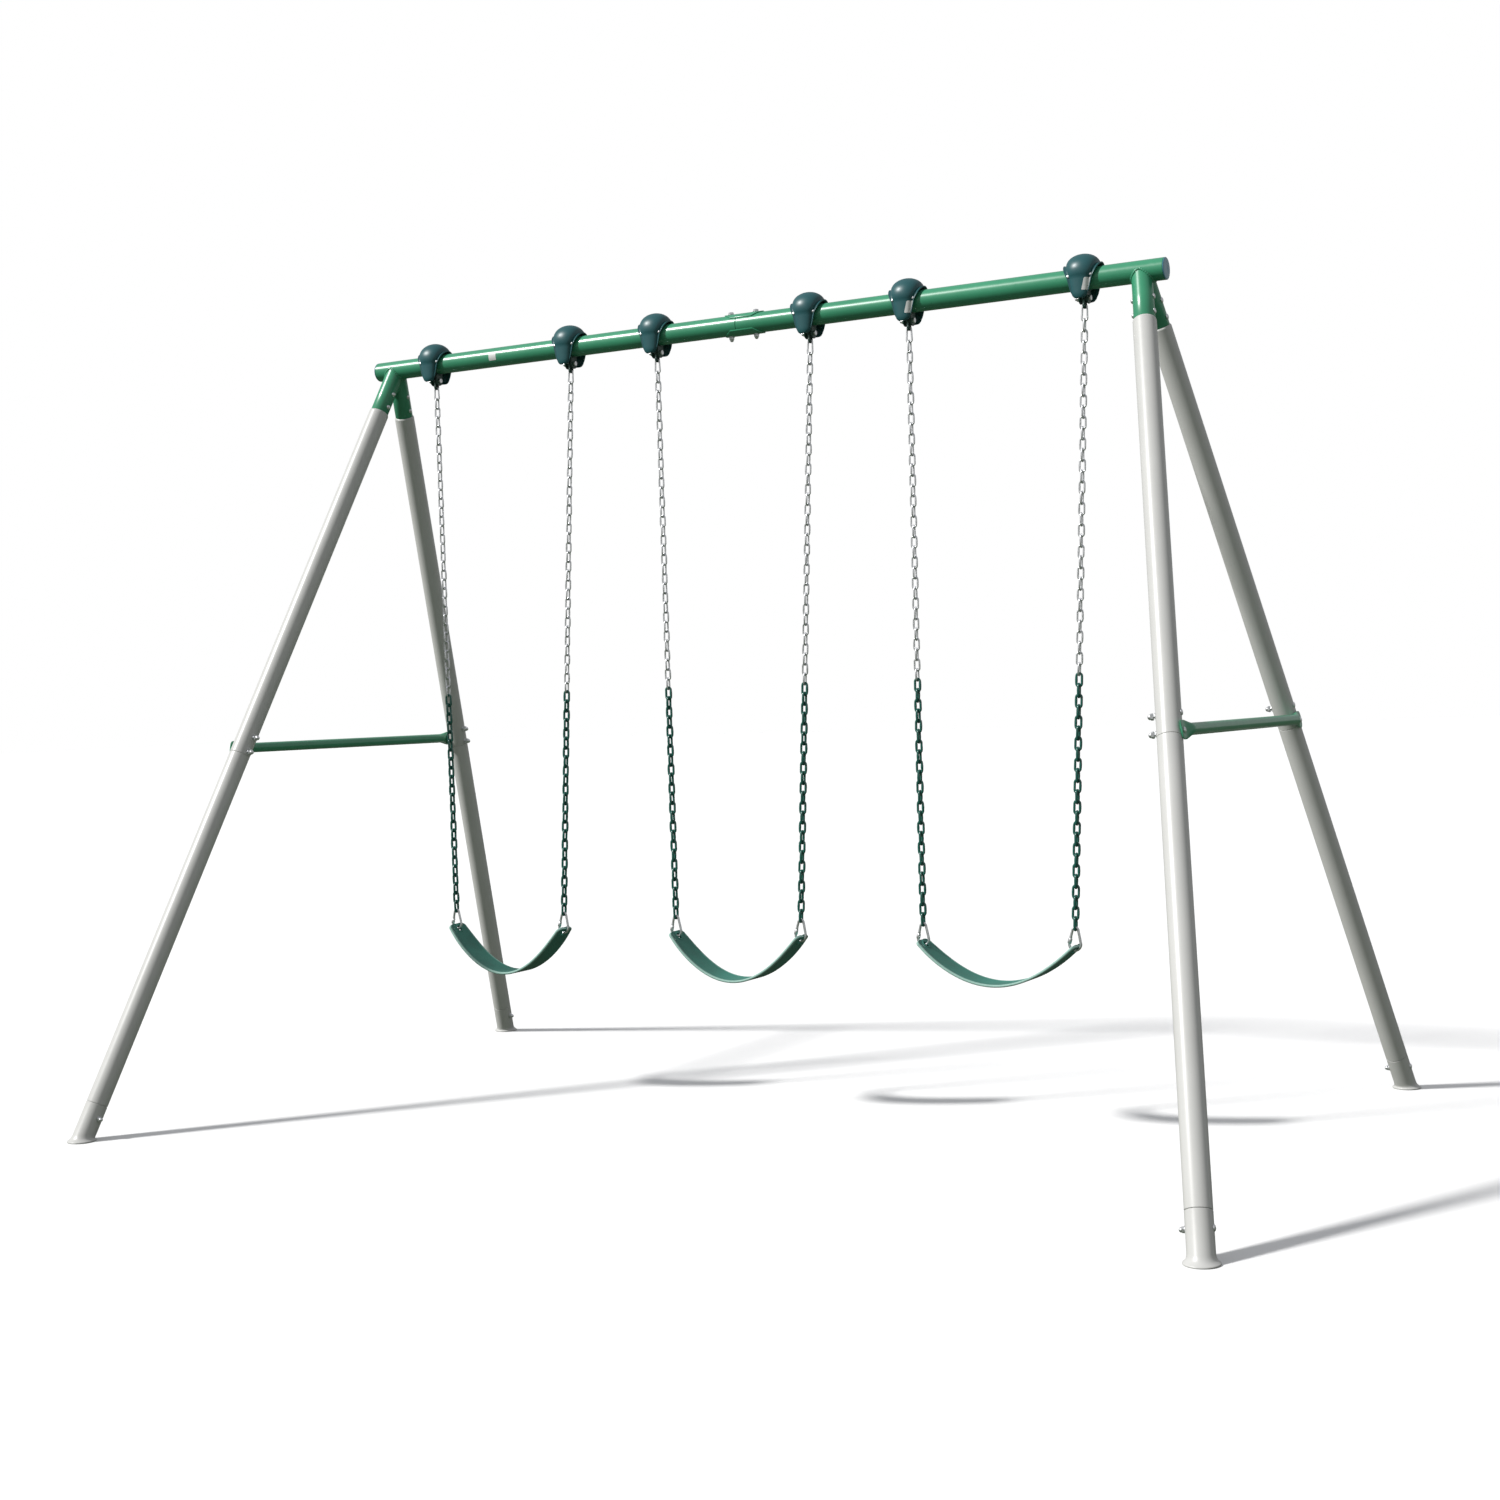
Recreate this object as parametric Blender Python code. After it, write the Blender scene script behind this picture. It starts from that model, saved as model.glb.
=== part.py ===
"""Three-seat swing set: a round beam on two splayed A-frames, with three belt swings on chains.

Metres, +Z up. The origin is on the floor under the middle of the beam, +X runs along the beam
and -Y is the front. Every separate piece of the real object is one object here.
"""

import math

import bmesh
import bpy
from mathutils import Matrix, Vector

# Driving dimensions of the frame
BEAM_HEIGHT = 2.240          # beam axis above the floor
BEAM_HALF = 1.264            # middle of the beam to either end
BEAM_R = 0.0285
BEAM_WALL = 0.002
SEAM_X = 0.027               # where the two beam tubes butt together
LEG_TOP_X = 1.201            # the leg axes meet the beam axis here
FOOT_X = 1.604
FOOT_Y = 1.008
LEG_R = 0.030
LEG_WALL = 0.0015
STUB_R = 0.027
STUB_WALL = 0.0015
STUB_RING = 0.149            # distances along a leg, from the beam axis
STUB_BORE_START = 0.066
MID_RING = 1.303
FOOT_RING = 2.380
SPIGOT = 0.076               # how far a reduced tube end enters its neighbour
FOOT_SPIGOT = 0.056
SHOULDER = 0.006
FLANGE_R = 0.040
CROSSBAR_RING_GAP = 0.012    # crossbar axis above the mid-leg ring, along the leg
CROSSBAR_R = 0.0145
CROSSBAR_WALL = 0.0015
PAD_HALF_HEIGHT = 0.023      # flattened end of a crossbar
PAD_HALF_THICKNESS = 0.0022
PAD_HALF_LENGTH = 0.013
FLARE_LENGTH = 0.045

# Splice plates, end caps
PLATE_HALF_LENGTH = 0.061
PLATE_HALF_STRAIGHT = 0.035
PLATE_CENTRE_X = 0.044
PLATE_THICKNESS = 0.0025
PLATE_HALF_ANGLE = math.radians(56)
PLATE_TIP_ANGLE = math.radians(15)
CAP_THICKNESS = 0.0025
CAP_PLUG = 0.015

# Hangers; heights are from the beam axis
SWING_SPACING = 0.7985       # middle of one swing to the next
HANGER_HALF = 0.249          # half spacing of one swing's two hangers
PIVOT_DROP = 0.049
EYE_DROP = 0.066
EYE_R = 0.0048
EAR_R = 0.015
EAR_INNER = 0.0085
EAR_THICKNESS = 0.004
STRAP_THICKNESS = 0.0032
STRAP_HALF_WIDTH = 0.014
BOLT_R = 0.004
COVER_R = 0.038              # outside of the cover's side flanges
COVER_WALL = 0.0025
COVER_FLANGE_DROP = 0.044
COVER_LOBE_DROP = 0.054

# Swings
CHAIN_R = 0.00975
CHAIN_WALL = 0.001
LINK_WIRE = 0.0025           # radius of the chain's wire
TOP_LINK_LENGTH = 0.046
RING_X = (0.199, 0.204, 0.217)    # half spacing of the snap rings of swings 1, 2 and 3
RING_Z = 0.517               # centre of a snap ring's wide lower arc
SWAY = -0.040                # the swings hang this far towards -X at the rings, as on a slope
RING_WIRE = 0.0035
RING_LOW_R = 0.016           # centre-line radii of the snap ring's arcs
RING_TOP_R = 0.008
RING_REACH = 0.044           # lower arc's centre up to the top bar's centre line
BELT_LENGTH = 0.478          # along the belt, from one eye hole to the other
SEAT_HALF_WIDTH = 0.048
SEAT_END_HALF_WIDTH = 0.041
SEAT_HALF_THICKNESS = 0.0035
SEAT_TIP = 0.018             # eye hole to the seat's tip
SEAT_HOLE_R = 0.009
EYE_REST = math.radians(70)  # the eye holes rest this far down round the rings' lower arcs

GAP = 0.0003                 # between neighbouring pieces
TUBE_SIDES = 16
SMALL_SIDES = 10
HEX_SIDES = 12

COLOURS = {
    "green_paint": ((0.045, 0.27, 0.11), 0.25, 0.0),
    "white_paint": ((0.72, 0.72, 0.70), 0.35, 0.0),
    "cover_plastic": ((0.012, 0.10, 0.10), 0.22, 0.0),
    "bracket_paint": ((0.010, 0.055, 0.040), 0.35, 0.0),
    "zinc": ((0.62, 0.63, 0.64), 0.30, 1.0),
    "nylon": ((0.012, 0.050, 0.040), 0.45, 0.0),
    "seat_rubber": ((0.010, 0.085, 0.070), 0.50, 0.0),
}


# ---------------------------------------------------------------- scene helpers

def clear_scene():
    for old in list(bpy.data.objects):
        bpy.data.objects.remove(old, do_unlink=True)


def make_materials():
    made = {}
    for name, (colour, roughness, metallic) in COLOURS.items():
        material = bpy.data.materials.new(name)
        material.use_nodes = True
        shader = material.node_tree.nodes["Principled BSDF"]
        shader.inputs["Base Color"].default_value = (*colour, 1.0)
        shader.inputs["Roughness"].default_value = roughness
        shader.inputs["Metallic"].default_value = metallic
        made[name] = material
    return made


def place(name, mesh, material, matrix=None, parent=None):
    """Put a mesh into the scene as one named, smooth-shaded object."""
    mesh.shade_smooth()
    mesh.set_sharp_from_angle(angle=math.radians(35))
    if not mesh.materials:
        mesh.materials.append(material)
    item = bpy.data.objects.new(name, mesh)
    bpy.context.collection.objects.link(item)
    item.parent = parent
    item.matrix_local = matrix or Matrix.Identity(4)
    return item


def make_empty(name, position):
    empty = bpy.data.objects.new(name, None)
    empty.location = position
    bpy.context.collection.objects.link(empty)
    return empty


# ---------------------------------------------------------------- mesh helpers

def skin(rings, wrap=False):
    """Skin rings of points into one closed mesh. wrap joins the last ring to the first."""
    bm = bmesh.new()
    loops = [[bm.verts.new(point) for point in ring] for ring in rings]
    pairs = list(zip(loops, loops[1:]))
    if wrap:
        pairs.append((loops[-1], loops[0]))
    else:
        bm.faces.new(loops[0])
        bm.faces.new(loops[-1])
    for first, second in pairs:
        count = len(first)
        for i in range(count):
            j = (i + 1) % count
            bm.faces.new((first[i], first[j], second[j], second[i]))
    bmesh.ops.recalc_face_normals(bm, faces=bm.faces)
    mesh = bpy.data.meshes.new("shape")
    bm.to_mesh(mesh)
    bm.free()
    return mesh


def circle(radius, height, sides):
    """A ring of points around the local Z axis."""
    turns = [math.tau * (i + 0.5) / sides for i in range(sides)]
    return [Vector((radius * math.cos(a), radius * math.sin(a), height)) for a in turns]


def hexagon(apothem, height):
    """A hexagon drawn with HEX_SIDES points, so that it skins onto a circle of as many."""
    points = []
    for i in range(HEX_SIDES):
        angle = math.tau * (i + 0.5) / HEX_SIDES
        off_flat = (angle + math.pi / 6) % (math.pi / 3) - math.pi / 6
        radius = apothem / math.cos(off_flat)
        points.append(Vector((radius * math.cos(angle), radius * math.sin(angle), height)))
    return points


def turned(profile, sides=TUBE_SIDES, hollow=False):
    """Turn (height, radius) pairs about local Z. A hollow profile is a closed loop."""
    rings = [circle(radius, height, sides) for height, radius in profile]
    return skin(rings, wrap=hollow)


def tube(start, end, outer, inner, sides=TUBE_SIDES):
    return turned([(start, outer), (end, outer), (end, inner), (start, inner)], sides, True)


def swept_loop(path, radius, sides=6):
    """A round wire along a closed path that lies in the local XZ plane."""
    rings = []
    count = len(path)
    for i in range(count):
        along = (path[(i + 1) % count] - path[i - 1]).normalized()
        outward = along.cross(Vector((0, 1, 0)))
        ring = []
        for k in range(sides):
            angle = math.tau * k / sides
            offset = outward * math.cos(angle) + Vector((0, 1, 0)) * math.sin(angle)
            ring.append(path[i] + offset * radius)
        rings.append(ring)
    return skin(rings, wrap=True)


def pear_path(low_r, top_r, reach, steps=7):
    """A closed path round two arcs, the lower centred at the origin and the upper above it."""
    centre_gap = reach - top_r
    lean = math.asin((low_r - top_r) / centre_gap)
    points = []
    for i in range(steps):
        angle = lean + (math.pi - 2 * lean) * i / (steps - 1)
        points.append(Vector((top_r * math.cos(angle), 0, centre_gap + top_r * math.sin(angle))))
    for i in range(steps):
        angle = math.pi - lean + (math.pi + 2 * lean) * i / (steps - 1)
        points.append(Vector((low_r * math.cos(angle), 0, low_r * math.sin(angle))))
    return points


def moved(mesh, matrix):
    mesh.transform(matrix)
    if matrix.determinant() < 0:
        mesh.flip_normals()
    return mesh


def carved(body, unions=(), cuts=()):
    """Join meshes to a body and cut others out of it, and return the resulting mesh."""
    base = bpy.data.objects.new("body", body)
    bpy.context.collection.objects.link(base)
    tools = []
    for operation, meshes in (("UNION", unions), ("DIFFERENCE", cuts)):
        for mesh in meshes:
            tool = bpy.data.objects.new("tool", mesh)
            tool.hide_render = True
            tool.display_type = "WIRE"
            bpy.context.collection.objects.link(tool)
            tools.append(tool)
            boolean = base.modifiers.new("boolean", "BOOLEAN")
            boolean.operation = operation
            boolean.solver = "EXACT"
            boolean.object = tool
    depsgraph = bpy.context.evaluated_depsgraph_get()
    result = bpy.data.meshes.new_from_object(base.evaluated_get(depsgraph))
    for item in (base, *tools):
        bpy.data.objects.remove(item, do_unlink=True)
    return result


def along_x(mesh, x=0.0, y=0.0, z=0.0):
    """Lay a mesh that was made along Z down along +X, and move it."""
    return moved(mesh, Matrix.Translation((x, y, z)) @ Matrix.Rotation(math.pi / 2, 4, "Y"))


def box(low, high):
    corners = ((0, 0), (1, 0), (1, 1), (0, 1))
    rings = []
    for z in (low[2], high[2]):
        rings.append([Vector(((low[0], high[0])[a], (low[1], high[1])[b], z)) for a, b in corners])
    return skin(rings)


# ---------------------------------------------------------------- frame

def leg_matrix(side_x, side_y):
    """Local +Z runs down the leg from the beam axis; local X stays as near world X as it can."""
    top = Vector((side_x * LEG_TOP_X, 0, BEAM_HEIGHT))
    foot = Vector((side_x * FOOT_X, side_y * FOOT_Y, 0))
    down = (foot - top).normalized()
    across = (Vector((1, 0, 0)) - down * down.x).normalized()
    third = down.cross(across)
    rotation = Matrix((across, third, down)).transposed().to_4x4()
    return Matrix.Translation(top) @ rotation


def leg_length():
    return math.sqrt((FOOT_X - LEG_TOP_X) ** 2 + FOOT_Y ** 2 + BEAM_HEIGHT ** 2)


def beam_mesh(side_x):
    """Half of the beam with its two welded leg stubs."""
    seam = SEAM_X + side_x * GAP / 2
    end = side_x * BEAM_HALF
    low, high = sorted((seam, end))
    solid = along_x(turned([(low, BEAM_R), (high, BEAM_R)]), z=BEAM_HEIGHT)
    reach = 0.05
    bore_r = BEAM_R - BEAM_WALL
    bore_span = [(low - reach, bore_r), (high + reach, bore_r)]
    bore = along_x(turned(bore_span), z=BEAM_HEIGHT)
    stubs = []
    bores = []
    for side_y in (-1, 1):
        matrix = leg_matrix(side_x, side_y)
        stubs.append(moved(turned([(0, STUB_R), (STUB_RING, STUB_R)]), matrix))
        inner = STUB_R - STUB_WALL
        open_end = STUB_RING + 0.01
        bores.append(moved(turned([(STUB_BORE_START, inner), (open_end, inner)]), matrix))
    return carved(solid, stubs, [bore, *bores])


def splice_plate_mesh(flip):
    """A curved plate with chamfered ends that lies on the beam over the seam."""
    inner = BEAM_R + GAP
    outer = inner + PLATE_THICKNESS
    steps = 12
    rings = []
    for i in range(steps + 1):
        angle = PLATE_HALF_ANGLE * (2 * i / steps - 1)
        slant = max(0.0, (abs(angle) - PLATE_TIP_ANGLE) / (PLATE_HALF_ANGLE - PLATE_TIP_ANGLE))
        half = PLATE_HALF_LENGTH + (PLATE_HALF_STRAIGHT - PLATE_HALF_LENGTH) * slant
        ring = []
        for x, radius in ((-half, inner), (half, inner), (half, outer), (-half, outer)):
            ring.append(Vector((x, radius * math.sin(angle), flip * radius * math.cos(angle))))
        rings.append(ring)
    return skin(rings)


def end_cap_mesh():
    """A disc on the tube's end with a hollow plug inside the tube, made along +Z outwards."""
    plug = BEAM_R - BEAM_WALL - GAP
    inside = plug - 0.002
    face = GAP + CAP_THICKNESS
    profile = [(-CAP_PLUG, plug), (GAP, plug), (GAP, BEAM_R), (face, BEAM_R)]
    shell = turned(profile)
    hollow = turned([(-2 * CAP_PLUG, inside), (0, inside)])
    return carved(shell, cuts=[hollow])


def reduced_tube_mesh(spigot_r, spigot, start, end):
    """A leg tube whose upper end is reduced to a spigot that enters the piece above."""
    inner = LEG_R - LEG_WALL
    neck = spigot_r - LEG_WALL
    top = start - spigot
    shoulder = start + GAP
    profile = [
        (top, spigot_r), (shoulder, spigot_r), (shoulder + SHOULDER, LEG_R), (end, LEG_R),
        (end, inner), (shoulder + SHOULDER, inner), (shoulder, neck), (top, neck),
    ]
    return profile


def upper_leg_mesh():
    spigot_r = STUB_R - STUB_WALL - GAP
    return turned(reduced_tube_mesh(spigot_r, SPIGOT, STUB_RING, MID_RING), hollow=True)


def lower_leg_mesh():
    """Reduced at its top, inside the upper leg, and at its bottom, inside the foot."""
    spigot_r = LEG_R - LEG_WALL - GAP
    neck = spigot_r - LEG_WALL
    outline = reduced_tube_mesh(spigot_r, SPIGOT, MID_RING, FOOT_RING - GAP - SHOULDER)
    bottom = FOOT_RING + FOOT_SPIGOT
    outer_end = [(FOOT_RING - GAP, spigot_r), (bottom, spigot_r)]
    inner_end = [(bottom, neck), (FOOT_RING - GAP, neck)]
    return turned(outline[:4] + outer_end + inner_end + outline[4:], hollow=True)


def foot_mesh(side_x, side_y):
    """A short tube on the leg's line, cut level at the floor, with a round flange."""
    matrix = leg_matrix(side_x, side_y)
    below = leg_length() + 0.05
    barrel = moved(turned([(FOOT_RING, LEG_R), (below, LEG_R)]), matrix)
    to_foot = Matrix.Translation((side_x * FOOT_X, side_y * FOOT_Y, 0))
    profile = [(0, FLANGE_R), (0.003, FLANGE_R), (0.0055, FLANGE_R - 0.003), (0.010, 0.0315)]
    flange = moved(turned(profile, 20), to_foot)
    floor_cut = moved(box((-0.1, -0.1, -0.1), (0.1, 0.1, 0)), to_foot)
    bore_r = LEG_R - LEG_WALL
    bore_end = leg_length() - 0.019
    bore = moved(turned([(FOOT_RING - 0.01, bore_r), (bore_end, bore_r)]), matrix)
    return carved(barrel, [flange], [floor_cut, bore])


def flat_round(half_height, half_thickness, y, sides=SMALL_SIDES):
    """A crossbar section in the XZ plane: a circle where round, a flat oval where pressed."""
    points = []
    for i in range(sides):
        angle = math.tau * (i + 0.5) / sides
        points.append(Vector((half_thickness * math.cos(angle), y, half_height * math.sin(angle))))
    return points


def crossbar_mesh(pad_y):
    """A tube along Y whose two ends are pressed flat into pads."""
    stations = [
        (pad_y + PAD_HALF_LENGTH, 0.8 * PAD_HALF_HEIGHT, PAD_HALF_THICKNESS),
        (pad_y + 0.7 * PAD_HALF_LENGTH, 0.95 * PAD_HALF_HEIGHT, PAD_HALF_THICKNESS),
        (pad_y - PAD_HALF_LENGTH, PAD_HALF_HEIGHT, PAD_HALF_THICKNESS),
    ]
    flare_start = pad_y - PAD_HALF_LENGTH
    for part in (0.5, 1.0):
        ease = part * part * (3 - 2 * part)
        height = PAD_HALF_HEIGHT + (CROSSBAR_R - PAD_HALF_HEIGHT) * ease
        thickness = PAD_HALF_THICKNESS + (CROSSBAR_R - PAD_HALF_THICKNESS) * ease
        stations.append((flare_start - FLARE_LENGTH * part, height, thickness))
    stations += [(-y, height, thickness) for y, height, thickness in reversed(stations)]
    outer = [flat_round(height, thickness, y) for y, height, thickness in stations]
    inner = []
    for y, height, thickness in reversed(stations):
        wall = min(CROSSBAR_WALL, 0.6 * thickness)
        inner.append(flat_round(height - wall, thickness - wall, y))
    return skin(outer + inner, wrap=True)


def build_frame(materials):
    green = materials["green_paint"]
    white = materials["white_paint"]
    for side_x, side in ((-1, "left"), (1, "right")):
        place(f"beam_{side}", beam_mesh(side_x), green)
        cap_turn = Matrix.Rotation(side_x * math.pi / 2, 4, "Y")
        cap_spot = Matrix.Translation((side_x * BEAM_HALF, 0, BEAM_HEIGHT))
        place(f"end_cap_{side}", end_cap_mesh(), green, cap_spot @ cap_turn)
    for flip, name in ((1, "splice_plate_top"), (-1, "splice_plate_bottom")):
        spot = Matrix.Translation((PLATE_CENTRE_X, 0, BEAM_HEIGHT))
        place(name, splice_plate_mesh(flip), green, spot)
    upper = upper_leg_mesh()
    lower = lower_leg_mesh()
    for side_x, side in ((-1, "left"), (1, "right")):
        for side_y, end in ((-1, "front"), (1, "rear")):
            matrix = leg_matrix(side_x, side_y)
            place(f"upper_leg_{side}_{end}", upper, white, matrix)
            place(f"lower_leg_{side}_{end}", lower, white, matrix)
            place(f"foot_{side}_{end}", foot_mesh(side_x, side_y), white)
    pad = leg_matrix(1, 1) @ Vector((0, 0, MID_RING - CROSSBAR_RING_GAP))
    splay = math.atan2(FOOT_X - LEG_TOP_X, BEAM_HEIGHT)
    stand_off = LEG_R + PAD_HALF_THICKNESS + GAP
    crossbar = crossbar_mesh(pad.y)
    for side_x, side in ((-1, "left"), (1, "right")):
        x = side_x * (pad.x + stand_off * math.cos(splay))
        spot = Matrix.Translation((x, 0, pad.z + stand_off * math.sin(splay)))
        place(f"crossbar_{side}", crossbar, green, spot @ Matrix.Rotation(-side_x * splay, 4, "Y"))


# ---------------------------------------------------------------- hangers
# Each hanger mesh has its origin on the beam axis.

def outline_plate(outline, low_x, high_x):
    """Extrude a closed outline of (y, z) points from low_x to high_x."""
    return skin([[Vector((x, y, z)) for y, z in outline] for x in (low_x, high_x)])


def ear_outline():
    top = -BEAM_R - 0.002
    steps = 8
    points = [(EAR_R, top)]
    for i in range(steps + 1):
        angle = -math.pi * i / steps
        points.append((EAR_R * math.cos(angle), -PIVOT_DROP + EAR_R * math.sin(angle)))
    points.append((-EAR_R, top))
    return points


def bracket_mesh():
    """A steel strap round the beam with two ears below it that hold the pivot bolt."""
    inner = BEAM_R + GAP
    width = STRAP_HALF_WIDTH
    strap = along_x(tube(-width, width, inner + STRAP_THICKNESS, inner))
    ear_outer = EAR_INNER + EAR_THICKNESS
    ears = [
        outline_plate(ear_outline(), EAR_INNER, ear_outer),
        outline_plate(ear_outline(), -ear_outer, -EAR_INNER),
    ]
    hole_r = BOLT_R + GAP
    hole = along_x(turned([(-0.02, hole_r), (0.02, hole_r)], HEX_SIDES), z=-PIVOT_DROP)
    return carved(strap, ears, [hole])


def pivot_bolt_mesh():
    """Hexagon head at +X, nut and thread end at -X, made along local Z through both ears."""
    seat = EAR_INNER + EAR_THICKNESS + GAP
    head = 0.0065
    rings = [
        circle(BOLT_R, -seat - 0.0105, HEX_SIDES),
        circle(BOLT_R, -seat - 0.0075, HEX_SIDES),
        hexagon(head, -seat - 0.0075),
        hexagon(head, -seat),
        circle(BOLT_R, -seat, HEX_SIDES),
        circle(BOLT_R, seat, HEX_SIDES),
        hexagon(head, seat),
        hexagon(head, seat + 0.0055),
    ]
    return along_x(skin(rings), z=-PIVOT_DROP)


def pendulum_mesh():
    """A moulded link: a boss that turns on the bolt above, an eye for the chain below."""
    boss_half = EAR_INNER - GAP
    radius = 0.0095
    boss = along_x(turned([(-boss_half, radius), (boss_half, radius)], HEX_SIDES), z=-PIVOT_DROP)
    outline = []
    for i in range(7):
        angle = math.pi * i / 6
        outline.append((radius * math.cos(angle), -PIVOT_DROP + radius * math.sin(angle)))
    for i in range(7):
        angle = math.pi + math.pi * i / 6
        outline.append((radius * math.cos(angle), -EYE_DROP + radius * math.sin(angle)))
    plate = outline_plate(outline, -0.004, 0.004)
    hole_r = BOLT_R + GAP
    bolt_hole = along_x(turned([(-0.02, hole_r), (0.02, hole_r)], HEX_SIDES), z=-PIVOT_DROP)
    eye_hole = along_x(turned([(-0.02, EYE_R), (0.02, EYE_R)], HEX_SIDES), z=-EYE_DROP - 0.0007)
    return carved(boss, [plate], [bolt_hole, eye_hole])


def cover_station(turn, drop):
    """Sizes of the cover at one place along its arch.

    turn is 0 at the top and 1 at the front or rear; drop is the distance below the beam axis.
    Returns the half width of the flanges, and the half width and height of the bulge.
    """
    fall = turn * turn
    low = drop / COVER_LOBE_DROP
    flange = 0.051 + (0.034 - 0.051) * fall - 0.013 * low - 0.004 * low ** 4
    bulge = 0.042 + (0.026 - 0.042) * fall - 0.008 * low
    height = 0.0265 + (0.011 - 0.0265) * fall - 0.003 * low
    return flange, bulge, height


def cover_mesh():
    """A domed shell over the beam: side flanges on an arch, and a bulge that ends in lobes."""
    stations = []
    arc_steps = 8
    flange_drop = COVER_FLANGE_DROP
    drops = (COVER_LOBE_DROP, COVER_LOBE_DROP - 0.004, flange_drop + 0.0005, flange_drop)
    for drop in drops:
        stations.append((1.0, drop, Vector((0, -1, 0)), -drop))
    for i in range(arc_steps + 1):
        angle = math.pi - math.pi * i / arc_steps
        normal = Vector((0, math.cos(angle), math.sin(angle)))
        stations.append((abs(2 * i / arc_steps - 1), 0.0, normal, 0.0))
    for drop in reversed(drops):
        stations.append((1.0, drop, Vector((0, 1, 0)), -drop))
    rings = []
    for turn, drop, normal, z in stations:
        flange, bulge, height = cover_station(turn, drop)
        if drop > flange_drop:
            flange = bulge + 0.0015
        if drop == COVER_LOBE_DROP:
            bulge *= 0.6
            flange = bulge + 0.0015
        outside = []
        inside = []
        for part in (-1.0, -0.85, -0.4, 0.4, 0.85, 1.0):
            rise = height * math.sqrt(1 - part * part)
            outside.append((part * bulge, COVER_R + rise))
            inside.append((part * (bulge - COVER_WALL), COVER_R - COVER_WALL + 0.96 * rise))
        outside = [(-flange, COVER_R), *outside, (flange, COVER_R)]
        inside = [(-flange, COVER_R - COVER_WALL), *inside, (flange, COVER_R - COVER_WALL)]
        loop = outside + inside[::-1]
        rings.append([Vector((x, 0, z)) + normal * reach for x, reach in loop])
    return skin(rings)


def build_hangers(materials):
    cover = cover_mesh()
    bracket = bracket_mesh()
    bolt = pivot_bolt_mesh()
    for number in (1, 2, 3):
        for side, name in ((-1, "left"), (1, "right")):
            x = SWING_SPACING * (number - 2) + side * HANGER_HALF
            spot = Matrix.Translation((x, 0, BEAM_HEIGHT))
            place(f"hanger_cover_{number}_{name}", cover, materials["cover_plastic"], spot)
            place(f"hanger_bracket_{number}_{name}", bracket, materials["bracket_paint"], spot)
            place(f"pivot_bolt_{number}_{name}", bolt, materials["zinc"], spot)


# ---------------------------------------------------------------- swings

def chain_line(number, side):
    """Top eye and ring centre of one chain, as offsets from the swing's middle plane."""
    top = Vector((side * HANGER_HALF, 0, BEAM_HEIGHT - EYE_DROP))
    bottom = Vector((side * RING_X[number - 1] + SWAY, 0, RING_Z))
    return top, bottom


def chain_mesh(length):
    """A real first link through the pendulum's eye, then the chain's round envelope.

    Made downwards from the eye: the chain's envelope is a tube whose wall has the links' steel.
    """
    half_width = CHAIN_R - LINK_WIRE
    straight = TOP_LINK_LENGTH - 2 * LINK_WIRE - 2 * half_width
    path = []
    for i in range(7):
        angle = math.pi * i / 6
        path.append(Vector((half_width * math.cos(angle), 0, half_width * math.sin(angle))))
    for i in range(7):
        angle = math.pi + math.pi * i / 6
        x = half_width * math.cos(angle)
        path.append(Vector((x, 0, half_width * math.sin(angle) - straight)))
    link = moved(swept_loop(path, LINK_WIRE), Matrix.Translation((0, 0, -half_width)))
    start = -(TOP_LINK_LENGTH - 2 * LINK_WIRE) + 0.009
    envelope = tube(-length, start, CHAIN_R, CHAIN_R - CHAIN_WALL, SMALL_SIDES)
    return carved(envelope, [link])


def snap_ring_mesh():
    return swept_loop(pear_path(RING_LOW_R, RING_TOP_R, RING_REACH), RING_WIRE)


def belt_end(ring_x):
    """Half spacing and height of the eye holes, which rest low on the rings' lower arcs."""
    return ring_x - RING_LOW_R * math.cos(EYE_REST), RING_Z - RING_LOW_R * math.sin(EYE_REST)


def belt_length(half, sag):
    """The length of a parabola between its two ends."""
    steepness = 2 * sag / half
    return half * (math.hypot(1, steepness) + math.asinh(steepness) / steepness)


def hang_belt(ring_x):
    """Find how far a belt of BELT_LENGTH sags between the eye holes of two rings.

    Returns the half spacing and the height of its eye holes, the slope there and the sag.
    """
    half, height = belt_end(ring_x)
    low, high = 0.05, 0.20
    for _ in range(40):
        sag = (low + high) / 2
        if belt_length(half, sag) > BELT_LENGTH:
            high = sag
        else:
            low = sag
    return half, height, math.atan(2 * sag / half), sag


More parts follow.
